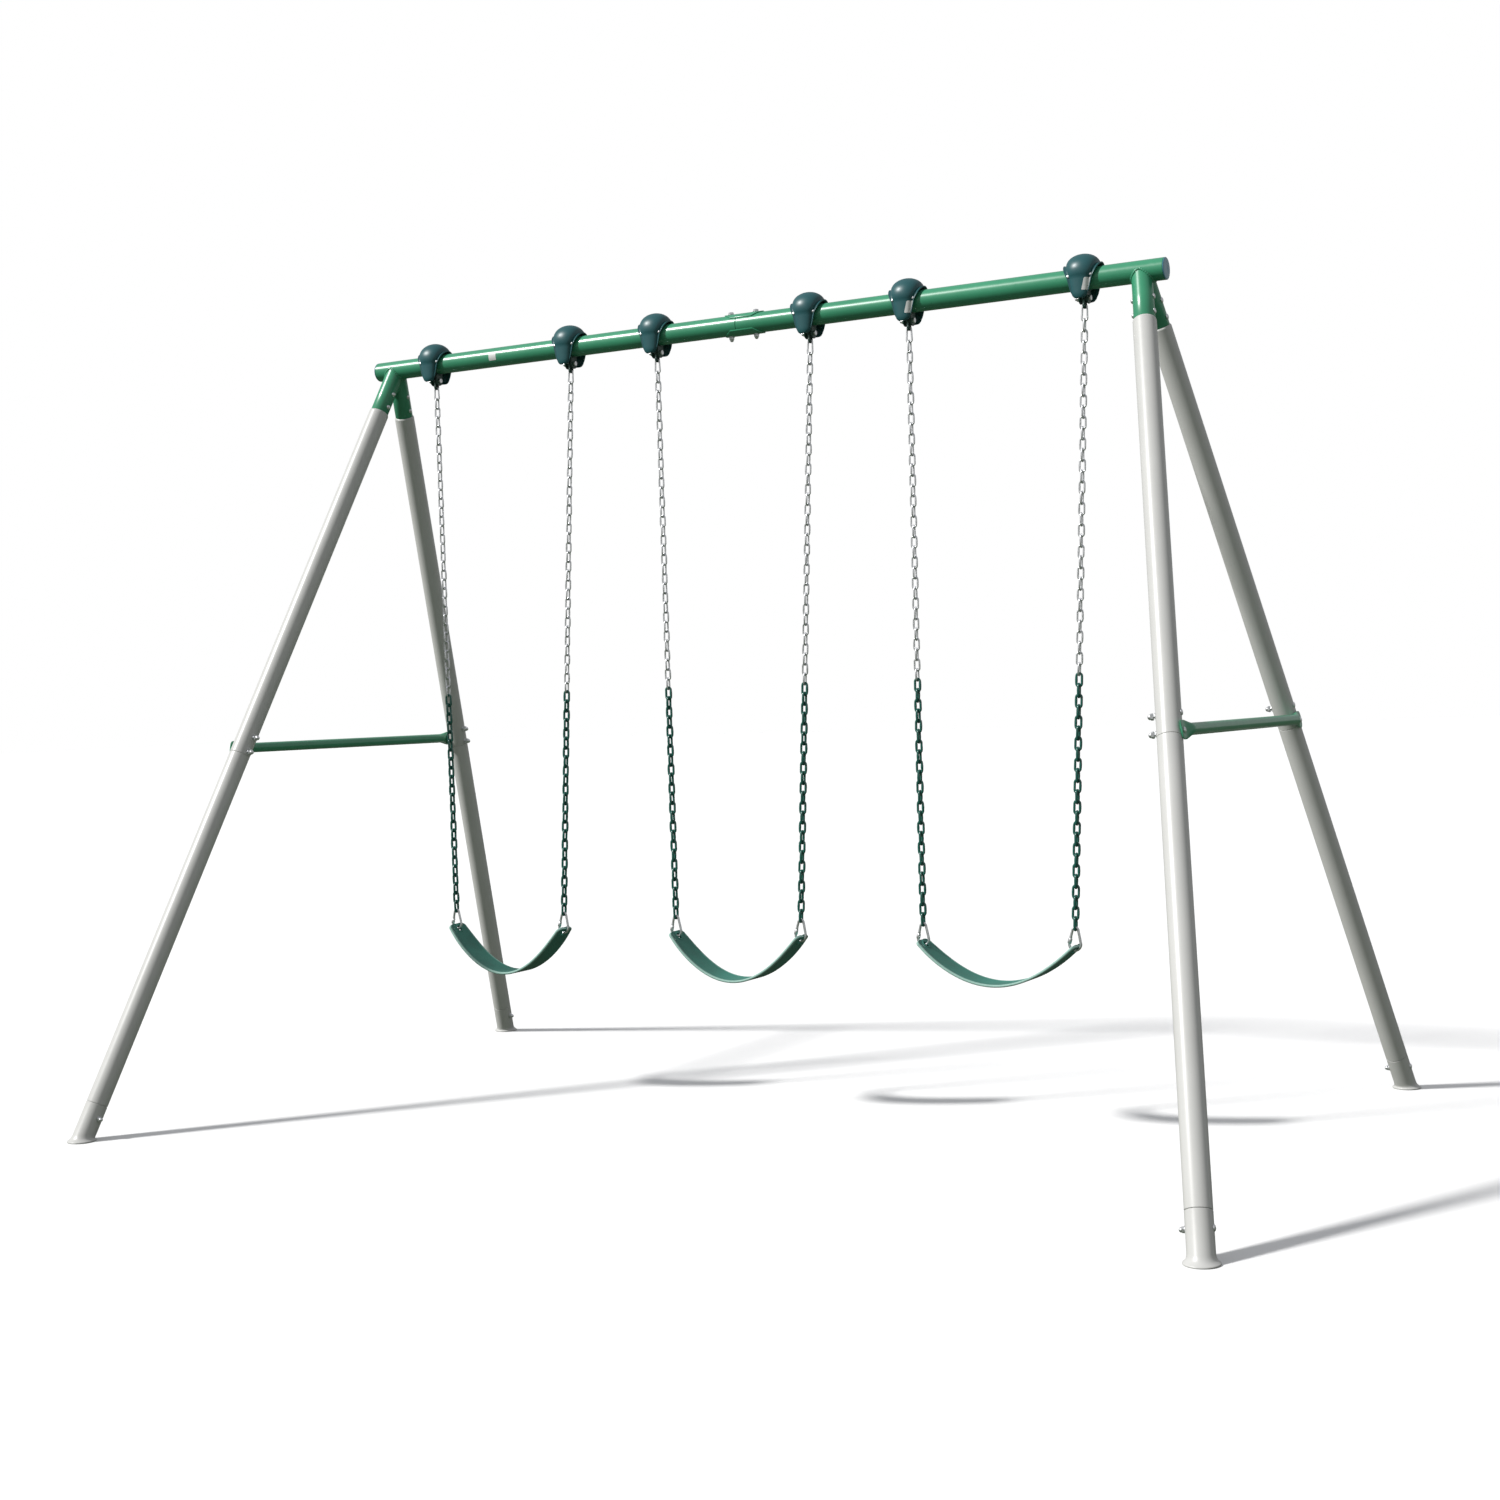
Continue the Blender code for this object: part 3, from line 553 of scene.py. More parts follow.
def foot_shape(side_x, side_y):
    """A tube on the leg's line that flares into a level round flange with a rolled rim."""
    matrix = leg_matrix(side_x, side_y)
    down = matrix.to_3x3() @ Vector((0, 0, 1))
    centre = Vector((side_x * FOOT_X, side_y * FOOT_Y, 0))
    angles = [math.tau * k / ROUND for k in range(ROUND)]

    def barrel(angle, radius, height):
        line = matrix @ Vector((radius * math.cos(angle), radius * math.sin(angle), 0))
        return line + down * ((height - line.z) / down.z)

    rings = [[centre + Vector((r * math.cos(a), -r * math.sin(a), z)) for a in angles]
             for r, z in ((0.030, 0.0), (0.0385, 0.0), (FLANGE_R - 0.0004, 0.0008), (FLANGE_R, 0.0022),
                          (FLANGE_R - 0.0005, 0.0036), (FLANGE_R - 0.0018, 0.0046))]
    for z, share in ((0.0060, 0.0), (0.0074, 0.25), (0.0092, 0.55), (0.0122, 0.8), (0.0165, 0.95),
                     (0.0220, 1.0)):
        ring = []
        for a in angles:
            cone = centre + Vector((FOOT_CONE_R * math.cos(a), -FOOT_CONE_R * math.sin(a), z))
            ring.append(cone.lerp(barrel(a, LEG_R, z), share))
        rings.append(ring)
    for height, radius in ((FOOT_RING + 0.0007, LEG_R), (FOOT_RING, LEG_R - 0.0007),
                           (FOOT_RING, LEG_R - LEG_WALL), (FOOT_RING + 0.06, LEG_R - LEG_WALL)):
        rings.append([matrix @ Vector((radius * math.cos(a), radius * math.sin(a), height))
                      for a in angles])
    return Shape().loft(rings)


def crossbar_shape(pad_y):
    """A tube along Y whose ends are pressed flat into rounded pads."""
    stations = [(1.0, 0.62, 0.6), (0.96, 0.74, 0.9), (0.86, 0.86, 1.0), (0.65, 0.96, 1.0),
                (0.3, 1.0, 1.0), (-0.6, 1.0, 1.0)]
    sections = [(pad_y + y * PAD_HALF_LENGTH, PAD_HALF_HEIGHT * h, PAD_HALF_THICKNESS * t)
                for y, h, t in stations]
    flare_start = pad_y - 0.8 * PAD_HALF_LENGTH
    for k in range(1, 15):
        part = k / 14
        height = PAD_HALF_HEIGHT + (CROSSBAR_R - PAD_HALF_HEIGHT) * smoothstep(part)
        thickness = PAD_HALF_THICKNESS + (CROSSBAR_R - PAD_HALF_THICKNESS) * smoothstep(part * 1.15)
        sections.append((flare_start - (FLARE_LENGTH + 0.2 * PAD_HALF_LENGTH) * part, height, thickness))
    sections += [(-y, h, t) for y, h, t in reversed(sections)]
    rings = []
    for y, height, thickness in sections:
        rings.append([Vector((thickness * math.cos(math.tau * k / 40), y,
                              height * math.sin(math.tau * k / 40))) for k in range(40)])
    return Shape().loft(rings)


def leg_bolts(side_x, side_y, end_name, side_name):
    """The bolts that cross one leg: round heads outside, low caps or dome nuts inside."""
    matrix = leg_matrix(side_x, side_y)
    turn = matrix.to_3x3()
    outward = turn @ Vector((side_x, 0, 0))
    heads = round_head()
    low_nut = round_head(0.0068, 0.0062)
    nut = dome_nut()
    tall_nut = dome_nut(0.0072, 0.0045)
    shape = Shape()
    spots = [(s, STUB_R, 0.0, low_nut) for s in STUB_BOLTS]
    spots.append((MID_BOLTS[0], LEG_R, 0.0, tall_nut))
    spots.append((MID_BOLTS[1], LEG_R, 2 * PAD_HALF_THICKNESS + 2 * GAP, tall_nut))
    spots.append((FOOT_BOLT, LEG_R, 0.0, nut))
    for s, radius, pad, inner_end in spots:
        centre = matrix @ Vector((0, 0, s))
        shape.join(heads, facing(centre + outward * (radius + pad - 0.0004), outward))
        shape.join(inner_end, facing(centre - outward * (radius - 0.0006), -outward))
    put(f"leg_bolts_{side_name}_{end_name}", shape.mesh("leg_bolts"), ZINC, "frame")


def splice_bolts():
    shape = Shape()
    reach = BEAM_R + PLATE_THICKNESS
    for x in SPLICE_BOLT_X:
        for up, part in ((1, hex_head()), (-1, dome_nut())):
            point = Vector((x, 0, BEAM_HEIGHT + up * reach))
            shape.join(part, facing(point, Vector((0, 0, up))))
    put("splice_bolts", shape.mesh("splice_bolts"), ZINC, "frame")


def beam_label():
    """A blank sticker wrapped on the front of the beam."""
    rings = []
    half = 0.013
    under = BEAM_R + 0.0001
    reach = BEAM_R + 0.0003
    for k in range(13):
        angle = math.radians(-25 + 52 * k / 12)
        corner = 0.0015 if k in (0, 12) else 0.0
        ring = []
        for x, r in ((-half, under), (half, under), (half, reach), (-half, reach)):
            inset = corner if x < 0 else -corner
            ring.append(Vector((BEAM_LABEL_X + x + inset, -r * math.cos(angle),
                                BEAM_HEIGHT - r * math.sin(angle))))
        rings.append(ring)
    put("beam_label", Shape().loft(rings).mesh("beam_label"), LABEL, "frame")


def build_frame():
    for side_x, side in SIDES:
        put(f"beam_tube_{side}", beam_shape(side_x).mesh("beam_tube"), GREEN, "frame",
            [f"beam_{side}"])
        cap_turn = Matrix.Rotation(side_x * math.pi / 2, 4, "Y")
        # The cap's blue is a painted sky reflection.
        put(f"beam_cap_{side}", end_cap_shape().mesh("beam_cap"), CAP_PAINTED_SKY, "frame",
            [f"end_cap_{side}"], Matrix.Translation((side_x * BEAM_HALF, 0, BEAM_HEIGHT)) @ cap_turn)
    for flip, name in ((1, "top"), (-1, "bottom")):
        put(f"splice_{name}", splice_plate_shape(flip).mesh("splice"), GREEN, "frame",
            [f"splice_plate_{name}"], Matrix.Translation((PLATE_CENTRE_X, 0, BEAM_HEIGHT)))
    splice_bolts()
    beam_label()
    upper = leg_tube_shape(STUB_R - 0.0018, STUB_RING, MID_RING, 0.0055).mesh("upper_leg")
    lower = lower_leg_shape().mesh("lower_leg")
    for side_x, side in SIDES:
        for side_y, end in ENDS:
            matrix = leg_matrix(side_x, side_y)
            put(f"leg_upper_{side}_{end}", upper, WHITE, "frame",
                [f"upper_leg_{side}_{end}"], matrix)
            put(f"leg_lower_{side}_{end}", lower, WHITE, "frame",
                [f"lower_leg_{side}_{end}"], matrix)
            put(f"leg_foot_{side}_{end}", foot_shape(side_x, side_y).mesh("leg_foot"), WHITE, "frame",
                [f"foot_{side}_{end}"])
            leg_bolts(side_x, side_y, end, side)
    pad = leg_matrix(1, 1) @ Vector((0, 0, MID_RING - CROSSBAR_RING_GAP))
    splay = math.atan2(FOOT_X - LEG_TOP_X, BEAM_HEIGHT)
    stand_off = LEG_R + PAD_HALF_THICKNESS + GAP
    crossbar = crossbar_shape(pad.y).mesh("crossbar")
    for side_x, side in SIDES:
        x = side_x * (pad.x + stand_off * math.cos(splay))
        spot = Matrix.Translation((x, 0, pad.z + stand_off * math.sin(splay)))
        put(f"brace_{side}", crossbar, GREEN, "frame", [f"crossbar_{side}"],
            spot @ Matrix.Rotation(-side_x * splay, 4, "Y"))


# ---------------------------------------------------------------- hangers, with the origin on the beam axis

def cover_station(turn, drop):
    """Half widths of the flange and bulge, and the bulge's height, at one place on the arch."""
    fall = turn * turn
    low = drop / COVER_LOBE_DROP
    flange, bulge, height = [
        top + (side - top) * fall - loss * low
        for top, side, loss in zip(COVER_AT_TOP, COVER_AT_SIDES, COVER_LOBE_LOSS)
    ]
    return flange - 0.004 * low ** 4, bulge, height


def cover_shape():
    """A domed shell over the beam: flanges on an arch, a bulge that ends in rounded lobes."""
    stations = []
    drops = [COVER_LOBE_DROP * math.sin(math.pi / 2 * k / 14) for k in range(14, 0, -1)]
    for drop in drops:
        stations.append((1.0, drop, Vector((0, -1, 0)), -drop))
    arc_steps = 40
    for i in range(arc_steps + 1):
        angle = math.pi - math.pi * i / arc_steps
        normal = Vector((0, math.cos(angle), math.sin(angle)))
        stations.append((abs(2 * i / arc_steps - 1), 0.0, normal, 0.0))
    for drop in reversed(drops):
        stations.append((1.0, drop, Vector((0, 1, 0)), -drop))
    parts = [math.sin(math.pi / 2 * (2 * k / 20 - 1)) for k in range(21)]
    rings = []
    for turn, drop, normal, z in stations:
        flange, bulge, height = cover_station(turn, drop)
        past = max(0.0, 1 - (COVER_LOBE_DROP - drop) / COVER_ROUNDING)
        close = math.sqrt(1 - 0.93 * past * past)
        flange_past = max(0.0, 1 - (COVER_FLANGE_DROP - drop) / 0.010)
        extra = (flange - bulge) * math.sqrt(max(0.0, 1 - flange_past * flange_past))
        bulge *= 0.35 + 0.65 * close
        height *= 0.45 + 0.55 * close
        flange = bulge + max(0.0015, extra)
        lip = 0.0010
        outside = [(-flange, COVER_R), (-flange + 0.0006, COVER_R + lip),
                   (-flange + min(0.0022, flange - bulge), COVER_R + lip * 0.8),
                   (-flange + min(0.0034, flange - bulge), COVER_R)]
        inside = [(-flange, COVER_R - COVER_WALL + 0.0004),
                  (-flange + 0.0005, COVER_R - COVER_WALL)]
        for part in parts:
            rise = height * math.sqrt(max(0.0, 1 - part * part))
            outside.append((part * bulge, COVER_R + rise))
            inside.append((part * (bulge - COVER_WALL), COVER_R - COVER_WALL + 0.96 * rise))
        outside += [(-x, reach) for x, reach in reversed(outside[:4])]
        inside += [(-x, reach) for x, reach in reversed(inside[:2])]
        loop = outside + inside[::-1]
        rings.append([Vector((x, 0, z)) + normal * reach for x, reach in loop])
    return Shape().loft(rings)


def cover_screws():
    """Two screws on each side of the cover, in the flanges beside the lobe."""
    shape = Shape()
    screw = pan_screw()
    for side_y in (-1, 1):
        for side_x in (-1, 1):
            lift = math.radians(6)
            normal = Vector((0, side_y * math.cos(lift), math.sin(lift)))
            point = normal * COVER_R + Vector((side_x * COVER_SCREW_X, 0, 0))
            shape.join(screw, facing(point, normal))
    return shape


def ear_outline():
    top = -BEAM_R - 0.001
    points = [(EAR_R, top)]
    for i in range(25):
        angle = -math.pi * i / 24
        points.append((EAR_R * math.cos(angle), -PIVOT_DROP + EAR_R * math.sin(angle)))
    points.append((-EAR_R, top))
    return points


def rounded_plate(outline, low_x, high_x, edge=0.0006):
    """A plate with softened edges, from a closed outline of (y, z) points."""
    centre_y = sum(y for y, _ in outline) / len(outline)
    centre_z = sum(z for _, z in outline) / len(outline)
    rings = []
    for x, inset in ((low_x, edge), (low_x + edge, 0.0), (high_x - edge, 0.0), (high_x, edge)):
        ring = []
        for y, z in outline:
            off = Vector((0, y - centre_y, z - centre_z))
            ring.append(Vector((x, y, z)) - off.normalized() * inset)
        rings.append(ring)
    return Shape().loft(rings)


def bracket_shape():
    """A steel strap round the beam with two ears below it."""
    inner = BEAM_R + GAP
    outer = inner + STRAP_THICKNESS
    w = STRAP_HALF_WIDTH
    profile = [(-w, inner), (-w, outer - 0.0006), (-w + 0.0006, outer), (w - 0.0006, outer),
               (w, outer - 0.0006), (w, inner)]
    shape = turned(profile, 48, True, lay_along_x())
    ear_outer = EAR_INNER + EAR_THICKNESS
    shape.join(rounded_plate(ear_outline(), EAR_INNER, ear_outer), Matrix())
    shape.join(rounded_plate(ear_outline(), -ear_outer, -EAR_INNER), Matrix())
    return shape


def pivot_bolt_shape():
    """Hexagon head at +X, nut and thread end at -X."""
    seat = EAR_INNER + EAR_THICKNESS + GAP
    shape = turned([(-seat - 0.0125, BOLT_R - 0.0006), (-seat - 0.0119, BOLT_R), (seat, BOLT_R)], 24)
    for k in range(6):
        thread = -seat - 0.0118 + 0.0009 * k
        shape.join(turned([(thread, BOLT_R), (thread + 0.0003, BOLT_R + 0.0003),
                           (thread + 0.0006, BOLT_R)], 24), Matrix())
    head = 0.0065
    shape.loft([hexagon(head, seat), hexagon(head, seat + 0.0047), circle(head * 0.97, seat + 0.0055, 24)])
    shape.loft([circle(head * 0.97, -seat - 0.0078, 24), hexagon(head, -seat - 0.0070),
                hexagon(head, -seat - 0.0004), circle(head, -seat, 24)])
    return Shape().join(shape, lay_along_x(z=-PIVOT_DROP))


def pendulum_shape():
    """A moulded link: a boss on the bolt above, and a rounded cheek with the chain's eye below."""
    boss_half = EAR_INNER - GAP
    radius = 0.0095
    shape = turned([(-boss_half, radius - 0.0008), (-boss_half + 0.0008, radius),
                    (boss_half - 0.0008, radius), (boss_half, radius - 0.0008)], 32, False,
                   lay_along_x(z=-PIVOT_DROP))
    eye_r = 0.0043
    centre = Vector((0, 0, -EYE_DROP - 0.0006))
    rings = []
    wall = (radius - eye_r) / 2
    for k in range(32):
        angle = math.tau * k / 32
        out = Vector((0, math.cos(angle), math.sin(angle)))
        ring = []
        for j in range(12):
            turn = math.tau * j / 12
            ring.append(centre + out * (eye_r + wall + wall * math.cos(turn))
                        + Vector((0.0042 * math.sin(turn), 0, 0)))
        rings.append(ring)
    shape.loft(rings, wrap=True)
    neck = [(0.0088, -PIVOT_DROP), (0.0080, -PIVOT_DROP - 0.006), (0.0082, -EYE_DROP + 0.0045),
            (-0.0082, -EYE_DROP + 0.0045), (-0.0080, -PIVOT_DROP - 0.006), (-0.0088, -PIVOT_DROP)]
    shape.join(rounded_plate(neck, -0.0038, 0.0038), Matrix())
    return shape


def cover_label():
    """A blank sticker on the right cheek of the front lobe; it follows the lobe's surface."""
    rings = []
    rows, columns = 10, 8
    for k in range(rows + 1):
        z = -0.004 - 0.0315 * k / rows
        flange, bulge, height = cover_station(1.0, -z)
        corner = 0.0014 if k in (0, rows) else 0.0
        right = flange - 0.0012 - corner
        left = flange - 0.0172 + corner
        front = []
        back = []
        for c in range(columns + 1):
            x = left + (right - left) * c / columns
            reach = COVER_R + height * math.sqrt(max(0.0, 1 - (x / bulge) ** 2))
            front.append(Vector((x, -reach - 0.0005, z)))
            back.append(Vector((x, -reach + 0.0003, z)))
        rings.append(front + back[::-1])
    return Shape().loft(rings)


def build_hangers():
    cover = cover_shape().mesh("cover")
    screws = cover_screws().mesh("cover_screws")
    bracket = bracket_shape().mesh("bracket")
    bolt = pivot_bolt_shape().mesh("pivot_bolt")
    label = cover_label().mesh("cover_label")
    for number in (1, 2, 3):
        for side_x, side in SIDES:
            x = SWING_SPACING * (number - 2) + side_x * HANGER_HALF
            spot = Matrix.Translation((x, 0, BEAM_HEIGHT))
            tag = f"{number}_{side}"
            put(f"cover_{tag}", cover, COVER, "frame", [f"hanger_cover_{tag}"], spot,
                sharp=50)
            put(f"cover_screws_{tag}", screws, ZINC, "frame", (), spot)
            put(f"bracket_{tag}", bracket, BRACKET, "frame",
                [f"hanger_bracket_{tag}"], spot)
            put(f"hanger_bolt_{tag}", bolt, ZINC, "frame", [f"pivot_bolt_{tag}"], spot)
            if number == 3:
                put(f"cover_label_{tag}", label, LABEL, "frame", (), spot)


# ---------------------------------------------------------------- swings

def oval_path(half_width, half_length, arc_steps=8, top_share=1.0):
    """A link's centre line in the XZ plane, centred at the origin. top_share narrows its top arc."""
    points = []
    top = half_width * top_share
    for k in range(arc_steps + 1):
        angle = math.pi * k / arc_steps
        points.append(Vector((top * math.cos(angle), 0, half_length - top + top * math.sin(angle))))
    points.append(Vector((-(half_width + top) / 2, 0, 0.0015)))
    points.append(Vector((-(half_width + top) / 2, 0, -0.0015)))
    for k in range(arc_steps + 1):
        angle = math.pi + math.pi * k / arc_steps
        points.append(Vector((half_width * math.cos(angle), 0,
                              -half_length + half_width + half_width * math.sin(angle))))
    points.append(Vector(((half_width + top) / 2, 0, -0.0015)))
    points.append(Vector(((half_width + top) / 2, 0, 0.0015)))
    return points


def link_shape(wire, pitch, sides=10):
    """One chain link with the small swelling of its weld on one side."""
    half_width = LINK_HALF_WIDTH + (wire - LINK_WIRE) / 2
    path = oval_path(half_width, pitch / 2 + wire)
    radii = [wire] * len(path)
    radii[9] = radii[10] = wire * 1.13
    return sweep(path, radii, sides)


def chain_shapes(first, last, wire, length):
    """The links from first up to last of one chain, hanging along -Z from the eye.

    length is from the eye to the centre of the snap ring's lower arc.
    """
    ring_bar = length - RING_REACH + RING_WIRE
    pitch = (ring_bar - FIRST_LINK_TOP - LINK_WIRE) / LINK_COUNT
    shape = Shape()
    link = link_shape(wire, pitch)
    for k in range(first, last):
        centre = FIRST_LINK_TOP + LINK_WIRE + pitch * (k + 0.5)
        turn = math.radians(random.uniform(-7, 7) + (90 if k % 2 == 0 else 0))
        lean = Matrix.Rotation(math.radians(random.uniform(-1.6, 1.6)), 4, "X")
        flip = Matrix.Rotation(math.pi * random.randrange(2), 4, "Z")
        shape.join(link, Matrix.Translation((0, 0, -centre)) @ Matrix.Rotation(turn, 4, "Z") @ lean @ flip)
    return shape


def top_link_shape():
    """The long first link, a little wider at its lower end."""
    half_length = 0.0205
    path = oval_path(0.0078, half_length, 10, 0.80)
    return Shape().join(sweep(path, LINK_WIRE, 12), Matrix.Translation((0, 0, -half_length)))


def pear_path(steps=24):
    """The snap ring's centre line: a wide arc at the origin and a narrow one above it."""
    centre_gap = RING_REACH - RING_TOP_R
    lean = math.asin((RING_LOW_R - RING_TOP_R) / centre_gap)
    points = []
    for i in range(steps // 2):
        angle = lean + (math.pi - 2 * lean) * i / (steps // 2 - 1)
        points.append(Vector((RING_TOP_R * math.cos(angle), 0,
                              centre_gap + RING_TOP_R * math.sin(angle))))
    for i in range(steps):
        angle = math.pi - lean + (math.pi + 2 * lean) * i / (steps - 1)
        points.append(Vector((RING_LOW_R * math.cos(angle), 0, RING_LOW_R * math.sin(angle))))
    return points


def snap_ring_shape():
    """A pear-shaped connector with a screwed sleeve on its -X side."""
    path = pear_path()
    shape = sweep(path, RING_WIRE, 14)
    lean = math.asin((RING_LOW_R - RING_TOP_R) / (RING_REACH - RING_TOP_R))
    low = Vector((-RING_LOW_R * math.cos(lean), 0, RING_LOW_R * math.sin(lean)))
    up = Vector((math.sin(lean), 0, math.cos(lean)))
    sleeve = Shape()
    sleeve.loft([circle(0.0044, -0.0012, 24), hexagon(0.0050, 0.0), hexagon(0.0050, 0.0120),
                 circle(0.0044, 0.0132, 24)])
    thread = turned([(0.0132, RING_WIRE), (0.0136, RING_WIRE + 0.0004), (0.0185, RING_WIRE + 0.0004),
                     (0.0189, RING_WIRE)], 24)
    spot = facing(low - up * 0.001, up)
    shape.join(sleeve, spot)
    shape.join(thread, spot)
    return shape


def belt_end(ring_x):
    """Half spacing and height of the eye holes, which rest low on the rings' lower arcs."""
    return ring_x - RING_LOW_R * math.cos(EYE_REST), RING_Z - RING_LOW_R * math.sin(EYE_REST)


def belt_length(half, sag):
    """The length of a parabola between its two ends."""
    steepness = 2 * sag / half
    return half * (math.hypot(1, steepness) + math.asinh(steepness) / steepness)


def hang_belt(ring_x):
    """Find how far a belt of BELT_LENGTH sags between the eye holes of two rings.

    Returns the half spacing and the height of its eye holes, the slope there and the sag.
    """
    half, height = belt_end(ring_x)
    low, high = 0.05, 0.20
    for _ in range(40):
        sag = (low + high) / 2
        if belt_length(half, sag) > BELT_LENGTH:
            high = sag
        else:
            low = sag
    return half, height, math.atan(2 * sag / half), sag


def seat_section(width):
    """(across, height, highlight) points round the belt's section, with a raised rounded rim. The third
    value is how much painted highlight a point gets.
    """
    t = SEAT_HALF_THICKNESS
    points = []
    for k in range(9):
        angle = math.pi / 2 - math.pi * k / 8
        rim = 0.0004 if angle > 0 else 0.0
        points.append((width - t + t * math.cos(angle), (t + rim) * math.sin(angle), 1.0))
    bottom = [(width - t - 0.003, -t, 0.25), (width - t - 0.006, -t, 0.0), (width * 0.4, -t, 0.0)]
    top = [(width * 0.4, t - 0.0006, 0.0), (width - t - 0.0065, t - 0.0006, 0.0),
           (width - t - 0.0045, t - 0.0003, 0.15), (width - t - 0.0020, t + 0.0004, 0.75)]
    right = top + points + bottom
    left = [(-y, h, r) for y, h, r in reversed(right)]
    return right + left


def seat_mesh(ring_x):
    """A moulded belt with rounded ends and bosses round its eye holes."""
    half, _, slope, sag = hang_belt(ring_x)
    steps = 72
    stations = []
    for i in range(steps + 1):
        part = 2 * i / steps - 1
        lean = math.atan(2 * sag * part / half)
        width = SEAT_HALF_WIDTH + (SEAT_END_HALF_WIDTH - SEAT_HALF_WIDTH) * part ** 8
        stations.append((part * half, sag * (part ** 2 - 1), lean, width))
    tip = []
    for k in range(1, 13):
        share = math.sin(math.pi / 2 * k / 12)
        width = SEAT_END_HALF_WIDTH * (0.36 + 0.64 * math.sqrt(1 - share ** 3.2))
        x = half + share * SEAT_TIP * math.cos(slope)
        tip.append((x, share * SEAT_TIP * math.sin(slope), slope, width))
    mirrored = [(-x, z, -lean, width) for x, z, lean, width in reversed(tip)]
    rings = []
    # How much painted highlight each point of the belt gets.
    painted_edge_highlight = []
    for x, z, lean, width in mirrored + stations + tip:
        up = Vector((-math.sin(lean), 0, math.cos(lean)))
        section = seat_section(width)
        rings.append([Vector((x, y, z)) + up * height for y, height, _ in section])
        painted_edge_highlight += [share for _, _, share in section]
    shape = Shape().loft(rings)
    bosses = Shape()
    cutters = Shape()
    for side in (-1, 1):
        tilt = Matrix.Translation((side * half, 0, 0)) @ Matrix.Rotation(-side * slope, 4, "Y")
        lift = SEAT_HALF_THICKNESS - 0.001
        face = lift + 0.0015
        inner = SEAT_HOLE_R + 0.0009
        outer = SEAT_HOLE_R + 0.0050
        ring = [(lift, outer + 0.0018), (face - 0.0005, outer + 0.0008), (face, outer), (face, inner),
                (face - 0.0005, SEAT_HOLE_R), (0.0005 - face, SEAT_HOLE_R), (-face, inner),
                (-face, outer), (0.0005 - face, outer + 0.0008), (-lift, outer + 0.0018)]
        bosses.join(turned(ring, 32, True), tilt)
        cutters.join(turned([(-0.02, SEAT_HOLE_R), (0.02, SEAT_HOLE_R)], 32), tilt)
    belt = shape.mesh("belt")
    # Store the painted highlight share as a point attribute for the seat material.
    attribute = belt.attributes.new("painted_edge_highlight", "FLOAT", "POINT")
    attribute.data.foreach_set("value", painted_edge_highlight)
    cut = carved(belt, cutters.mesh("cutters"))
    boss = bosses.mesh("bosses")
    bm = bmesh.new()
    bm.from_mesh(cut)
    bm.from_mesh(boss)
    bm.to_mesh(cut)
    bm.free()
    return cut


def carved(mesh, cutter):
    """Cut one mesh out of another and return the result."""
    base = bpy.data.objects.new("base", mesh)
    tool = bpy.data.objects.new("tool", cutter)
    for item in (base, tool):
        bpy.context.scene.collection.objects.link(item)
    boolean = base.modifiers.new("boolean", "BOOLEAN")
    boolean.operation = "DIFFERENCE"
    boolean.solver = "EXACT"
    boolean.object = tool
    bpy.context.view_layer.update()
    depsgraph = bpy.context.evaluated_depsgraph_get()
    result = bpy.data.meshes.new_from_object(base.evaluated_get(depsgraph))
    for item in (base, tool):
        bpy.data.objects.remove(item, do_unlink=True)
    return result


def build_swings():
    pendulum = pendulum_shape().mesh("pendulum")
    ring = snap_ring_shape().mesh("snap_ring")
    top_link = top_link_shape().mesh("top_link")
    for number, ring_x in enumerate(RING_X, 1):
        middle = SWING_SPACING * (number - 2)
        body = f"swing_{number}"
        for side_x, side in SIDES:
            tag = f"{number}_{side}"
            eye = Vector((middle + side_x * HANGER_HALF, 0, BEAM_HEIGHT - EYE_DROP))
            low = Vector((middle + side_x * ring_x + SWAY, 0, RING_Z))
            length = (eye - low).length
            lean = math.atan2(eye.x - low.x, eye.z - low.z)
            turn = Matrix.Rotation(lean, 4, "Y")
            hanger = Matrix.Translation((eye.x, 0, BEAM_HEIGHT))
            put(f"swivel_{tag}", pendulum, NYLON, body, [f"pendulum_{tag}"], hanger)
            put(f"top_link_{tag}", top_link, ZINC, body, (), Matrix.Translation(eye) @ turn)
            bare = chain_shapes(0, BARE_LINKS, LINK_WIRE, length).mesh("bare_links")
            put(f"chain_bare_{tag}", bare, ZINC, body, [f"chain_{tag}"],
                Matrix.Translation(eye) @ turn)
            coated = chain_shapes(BARE_LINKS, LINK_COUNT, COATED_WIRE, length).mesh("coated_links")
            put(f"chain_coated_{tag}", coated, COATED, body, (), Matrix.Translation(eye) @ turn)
            put(f"ring_{tag}", ring, ZINC, body, [f"snap_ring_{tag}"],
                Matrix.Translation(low) @ turn)
        _, seat_z, _, _ = hang_belt(ring_x)
        put(f"belt_seat_{number}", seat_mesh(ring_x), SEAT, f"seat_{number}_body",
            [f"seat_{number}"], Matrix.Translation((middle + SWAY, 0, seat_z)))


# ---------------------------------------------------------------- stage, light and camera

FLOOR_BOUNCE = (0.08, 0.10, 0.07)    # what the pale floor throws back, as low as open ground does
FLOOR_GLOW = (0.03, 0.03, 0.03, 1.0)
FLOOR_REACH = 60.0
SUN_STRENGTH = 4.0
SUN_ANGLE = math.radians(6.0)
SUN_FROM = (-0.54, -0.55, 0.64)
CAMERA_PLACE = (2.861, -5.084, 1.179)
CAMERA_LENS = 49.27                  # mm, on a sensor 36 mm wide


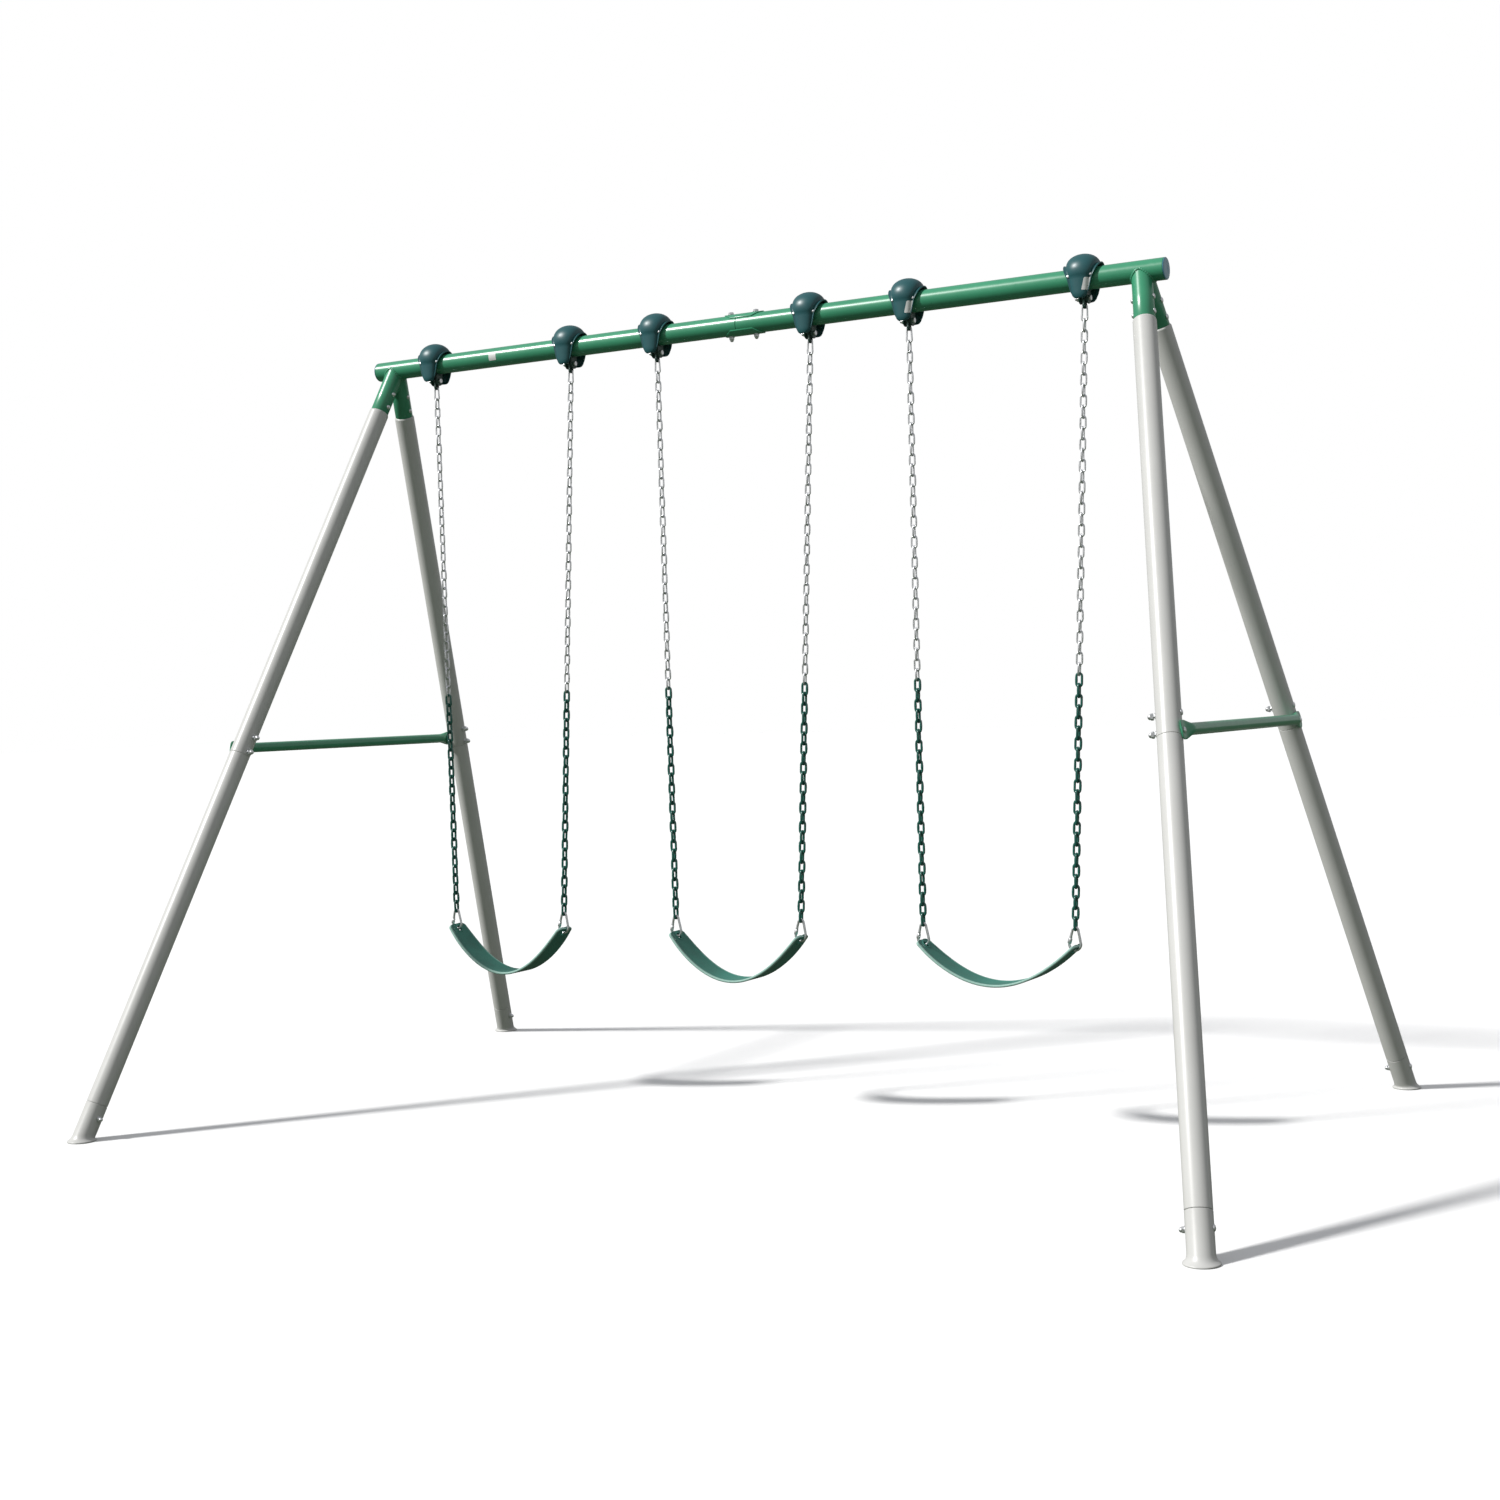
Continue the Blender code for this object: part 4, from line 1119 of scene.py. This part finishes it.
def build_stage():
    """A pale floor: nearly white to the camera, dull to every other ray."""
    material, tree, shader = new_material("pale_floor")
    coords = add(tree, "ShaderNodeTexCoord")
    broad = noise_value(tree, coords, 0.8)
    share = remap(tree, broad, 0.3, 0.7, 0.0, 1.0)
    pale = blend_colour(tree, share, (0.89, 0.89, 0.89), (0.91, 0.91, 0.91))
    seen = add(tree, "ShaderNodeLightPath")
    base = blend_colour(tree, seen.outputs["Is Camera Ray"], FLOOR_BOUNCE, pale)
    tree.links.new(base, shader.inputs["Base Color"])
    tree.links.new(seen.outputs["Is Camera Ray"], shader.inputs["Emission Strength"])
    shader.inputs["Emission Color"].default_value = FLOOR_GLOW
    shader.inputs["Roughness"].default_value = 0.9
    shader.inputs["Specular IOR Level"].default_value = 0.1
    mesh = bpy.data.meshes.new("floor")
    corners = [(x * FLOOR_REACH, y * FLOOR_REACH, 0) for x, y in ((-1, -1), (1, -1), (1, 1), (-1, 1))]
    mesh.from_pydata(corners, [], [(0, 1, 2, 3)])
    mesh.materials.append(material)
    floor = bpy.data.objects.new("floor", mesh)
    bpy.context.scene.collection.objects.link(floor)


def build_light():
    """A soft key from the front left, and a plain pale surround."""
    sun_data = bpy.data.lights.new("key", "SUN")
    sun_data.energy = SUN_STRENGTH
    sun_data.angle = SUN_ANGLE
    sun_data.color = (1.0, 0.99, 0.975)
    sun = bpy.data.objects.new("key", sun_data)
    sun.rotation_mode = "QUATERNION"
    sun.rotation_quaternion = Vector(SUN_FROM).to_track_quat("Z", "Y")
    bpy.context.scene.collection.objects.link(sun)
    world = bpy.data.worlds.new("surround")
    world.use_nodes = True
    bpy.context.scene.world = world
    tree = world.node_tree
    background = tree.nodes["Background"]
    coords = add(tree, "ShaderNodeTexCoord")
    split = add(tree, "ShaderNodeSeparateXYZ")
    tree.links.new(coords.outputs["Generated"], split.inputs["Vector"])
    share = remap(tree, split.outputs["Z"], -0.05, 0.75, 0.0, 1.0)
    surround = blend_colour(tree, share, (0.46, 0.46, 0.46), (0.34, 0.35, 0.37))
    seen = add(tree, "ShaderNodeLightPath")
    colour = blend_colour(tree, seen.outputs["Is Camera Ray"], surround, (1.0, 1.0, 1.0))
    tree.links.new(colour, background.inputs["Color"])


def build_camera():
    """Stands off the front right corner at about chest height and looks slightly down."""
    yaw, pitch, roll = -0.5098, -0.0239, -0.0301
    forward = Vector((math.sin(yaw) * math.cos(pitch), math.cos(yaw) * math.cos(pitch),
                      math.sin(pitch)))
    level = Vector((math.cos(yaw), -math.sin(yaw), 0))
    upright = level.cross(forward)
    right = math.cos(roll) * level + math.sin(roll) * upright
    up = -math.sin(roll) * level + math.cos(roll) * upright
    data = bpy.data.cameras.new("camera")
    data.sensor_width = 36.0
    data.lens = CAMERA_LENS
    data.clip_end = 300.0
    camera = bpy.data.objects.new("camera", data)
    turn = Matrix((right, up, -forward)).transposed().to_4x4()
    camera.matrix_world = Matrix.Translation(CAMERA_PLACE) @ turn
    bpy.context.scene.collection.objects.link(camera)
    bpy.context.scene.camera = camera


build_frame()
build_hangers()
build_swings()
build_stage()
build_light()
build_camera()
bpy.context.scene.view_settings.view_transform = "Standard"
